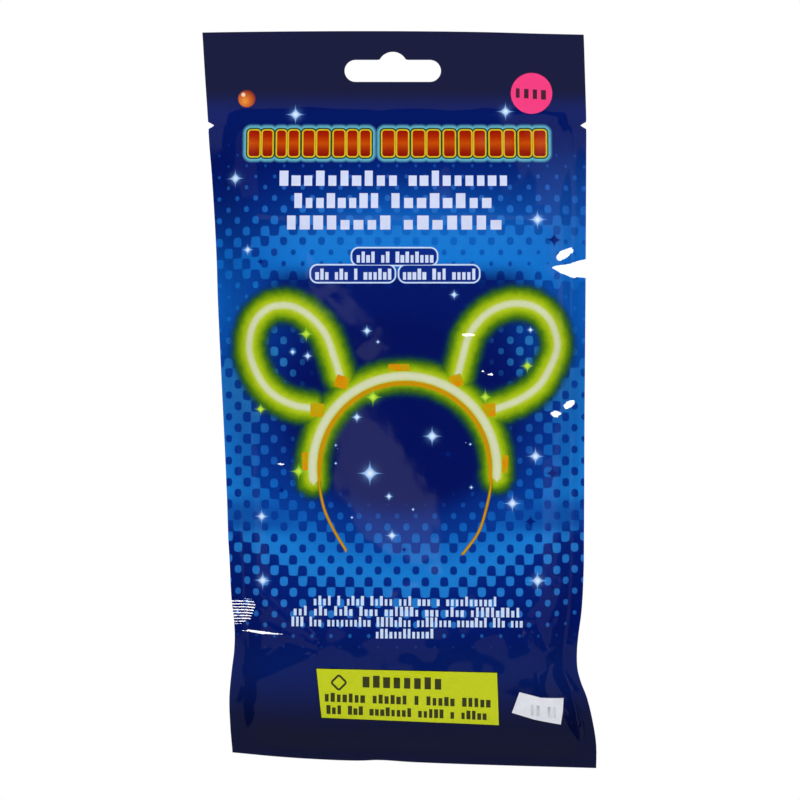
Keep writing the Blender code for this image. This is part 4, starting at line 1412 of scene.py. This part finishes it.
w = WorldNet()
tc = w.node("ShaderNodeTexCoord")
sep = w.node("ShaderNodeSeparateXYZ")
wt.links.new(tc.outputs["Generated"], sep.inputs[0])
dx, dy, dz = [E(w, o) for o in sep.outputs]
depth = (-dy).max(0.02)
u, v = dx / depth, dz / depth
toward = dy < -0.02


def card(u0, u1, v0, v1, soft, level):
    inside = (w.step(u, u0 - soft, u0 + soft) * w.step(u, u1 + soft, u1 - soft)
              * w.step(v, v0 - soft, v0 + soft) * w.step(v, v1 + soft, v1 - soft))
    return inside * level


def card_shape(corners, soft, level):
    """A bright card whose mirror image in the flat film has this outline on the artwork grid."""
    p = []
    for c in corners:
        px_, pz_ = A(*c)
        p.append(((px_ * MM - camera.location.x) / 0.739, (pz_ * MM - camera.location.z) / 0.739))
    turn = sum(p[k - 1][0] * p[k][1] - p[k][0] * p[k - 1][1] for k in range(len(p)))
    d = None
    for k in range(len(p)):
        (u0, v0), (u1, v1) = p[k - 1], p[k]
        length = math.hypot(u1 - u0, v1 - v0) * (1 if turn > 0 else -1)
        e = u * ((v1 - v0) / length) - v * ((u1 - u0) / length) - (u0 * (v1 - v0) - v0 * (u1 - u0)) / length
        d = e if d is None else d.max(e)
    return w.step(d, soft, -soft) * level


glow_env = card(-0.30, 0.30, 0.112, 0.185, 0.004, 0.27)
glow_env = glow_env + card(-2.5, 2.5, -30.0, -0.108, 0.002, 0.17)
glow_env = glow_env + card_shape([(357, 405), (368, 412), (390, 430), (406, 452), (420, 478), (433, 504), (443, 535),
                                  (434, 556), (400, 560), (377, 549), (352, 522), (335, 483), (334, 455), (341, 420)],
                                 0.0016, 0.46)
glow_env = glow_env + card_shape([(312, 288), (326, 293), (352, 307), (364, 326), (350, 327), (330, 311)], 0.0012, 0.44)
glow_env = glow_env + card_shape([(355, 350), (372, 333), (384, 349), (371, 359)], 0.0012, 0.42)
glow_env = glow_env + card(0.05, 2.5, 0.33, 0.72, 0.006, 0.24)
glow_env = glow_env + card(0.36, 8.0, 0.078, 0.33, 0.006, 0.24)
glow_env = glow_env + card(-1.6, -0.12, 0.42, 0.72, 0.01, 0.12)
glow_env = glow_env + card(0.30, 8.0, -0.098, -0.035, 0.004, 0.22)
glossy_level = glow_env * toward + 0.03 + w.step(dy, 0.35, 0.7) * 0.4
lp = w.node("ShaderNodeLightPath")
bg_cam = w.node("ShaderNodeBackground")
bg_cam.inputs["Color"].default_value = (1, 1, 1, 1)
bg_cam.inputs["Strength"].default_value = 1.0
bg_dif = w.node("ShaderNodeBackground")
bg_dif.inputs["Color"].default_value = (1, 1, 1, 1)
bg_dif.inputs["Strength"].default_value = 0.34
bg_glo = w.node("ShaderNodeBackground")
bg_glo.inputs["Color"].default_value = (0.93, 0.95, 1.0, 1)
w.put(bg_glo.inputs["Strength"], glossy_level)
m1 = w.node("ShaderNodeMixShader")
wt.links.new(lp.outputs["Is Glossy Ray"], m1.inputs[0])
wt.links.new(bg_dif.outputs[0], m1.inputs[1])
wt.links.new(bg_glo.outputs[0], m1.inputs[2])
m2 = w.node("ShaderNodeMixShader")
see = E(w, lp.outputs["Is Camera Ray"]).max(E(w, lp.outputs["Is Transmission Ray"]))
wt.links.new(see.s, m2.inputs[0])
wt.links.new(m1.outputs[0], m2.inputs[1])
wt.links.new(bg_cam.outputs[0], m2.inputs[2])
out = w.node("ShaderNodeOutputWorld")
wt.links.new(m2.outputs[0], out.inputs["Surface"])
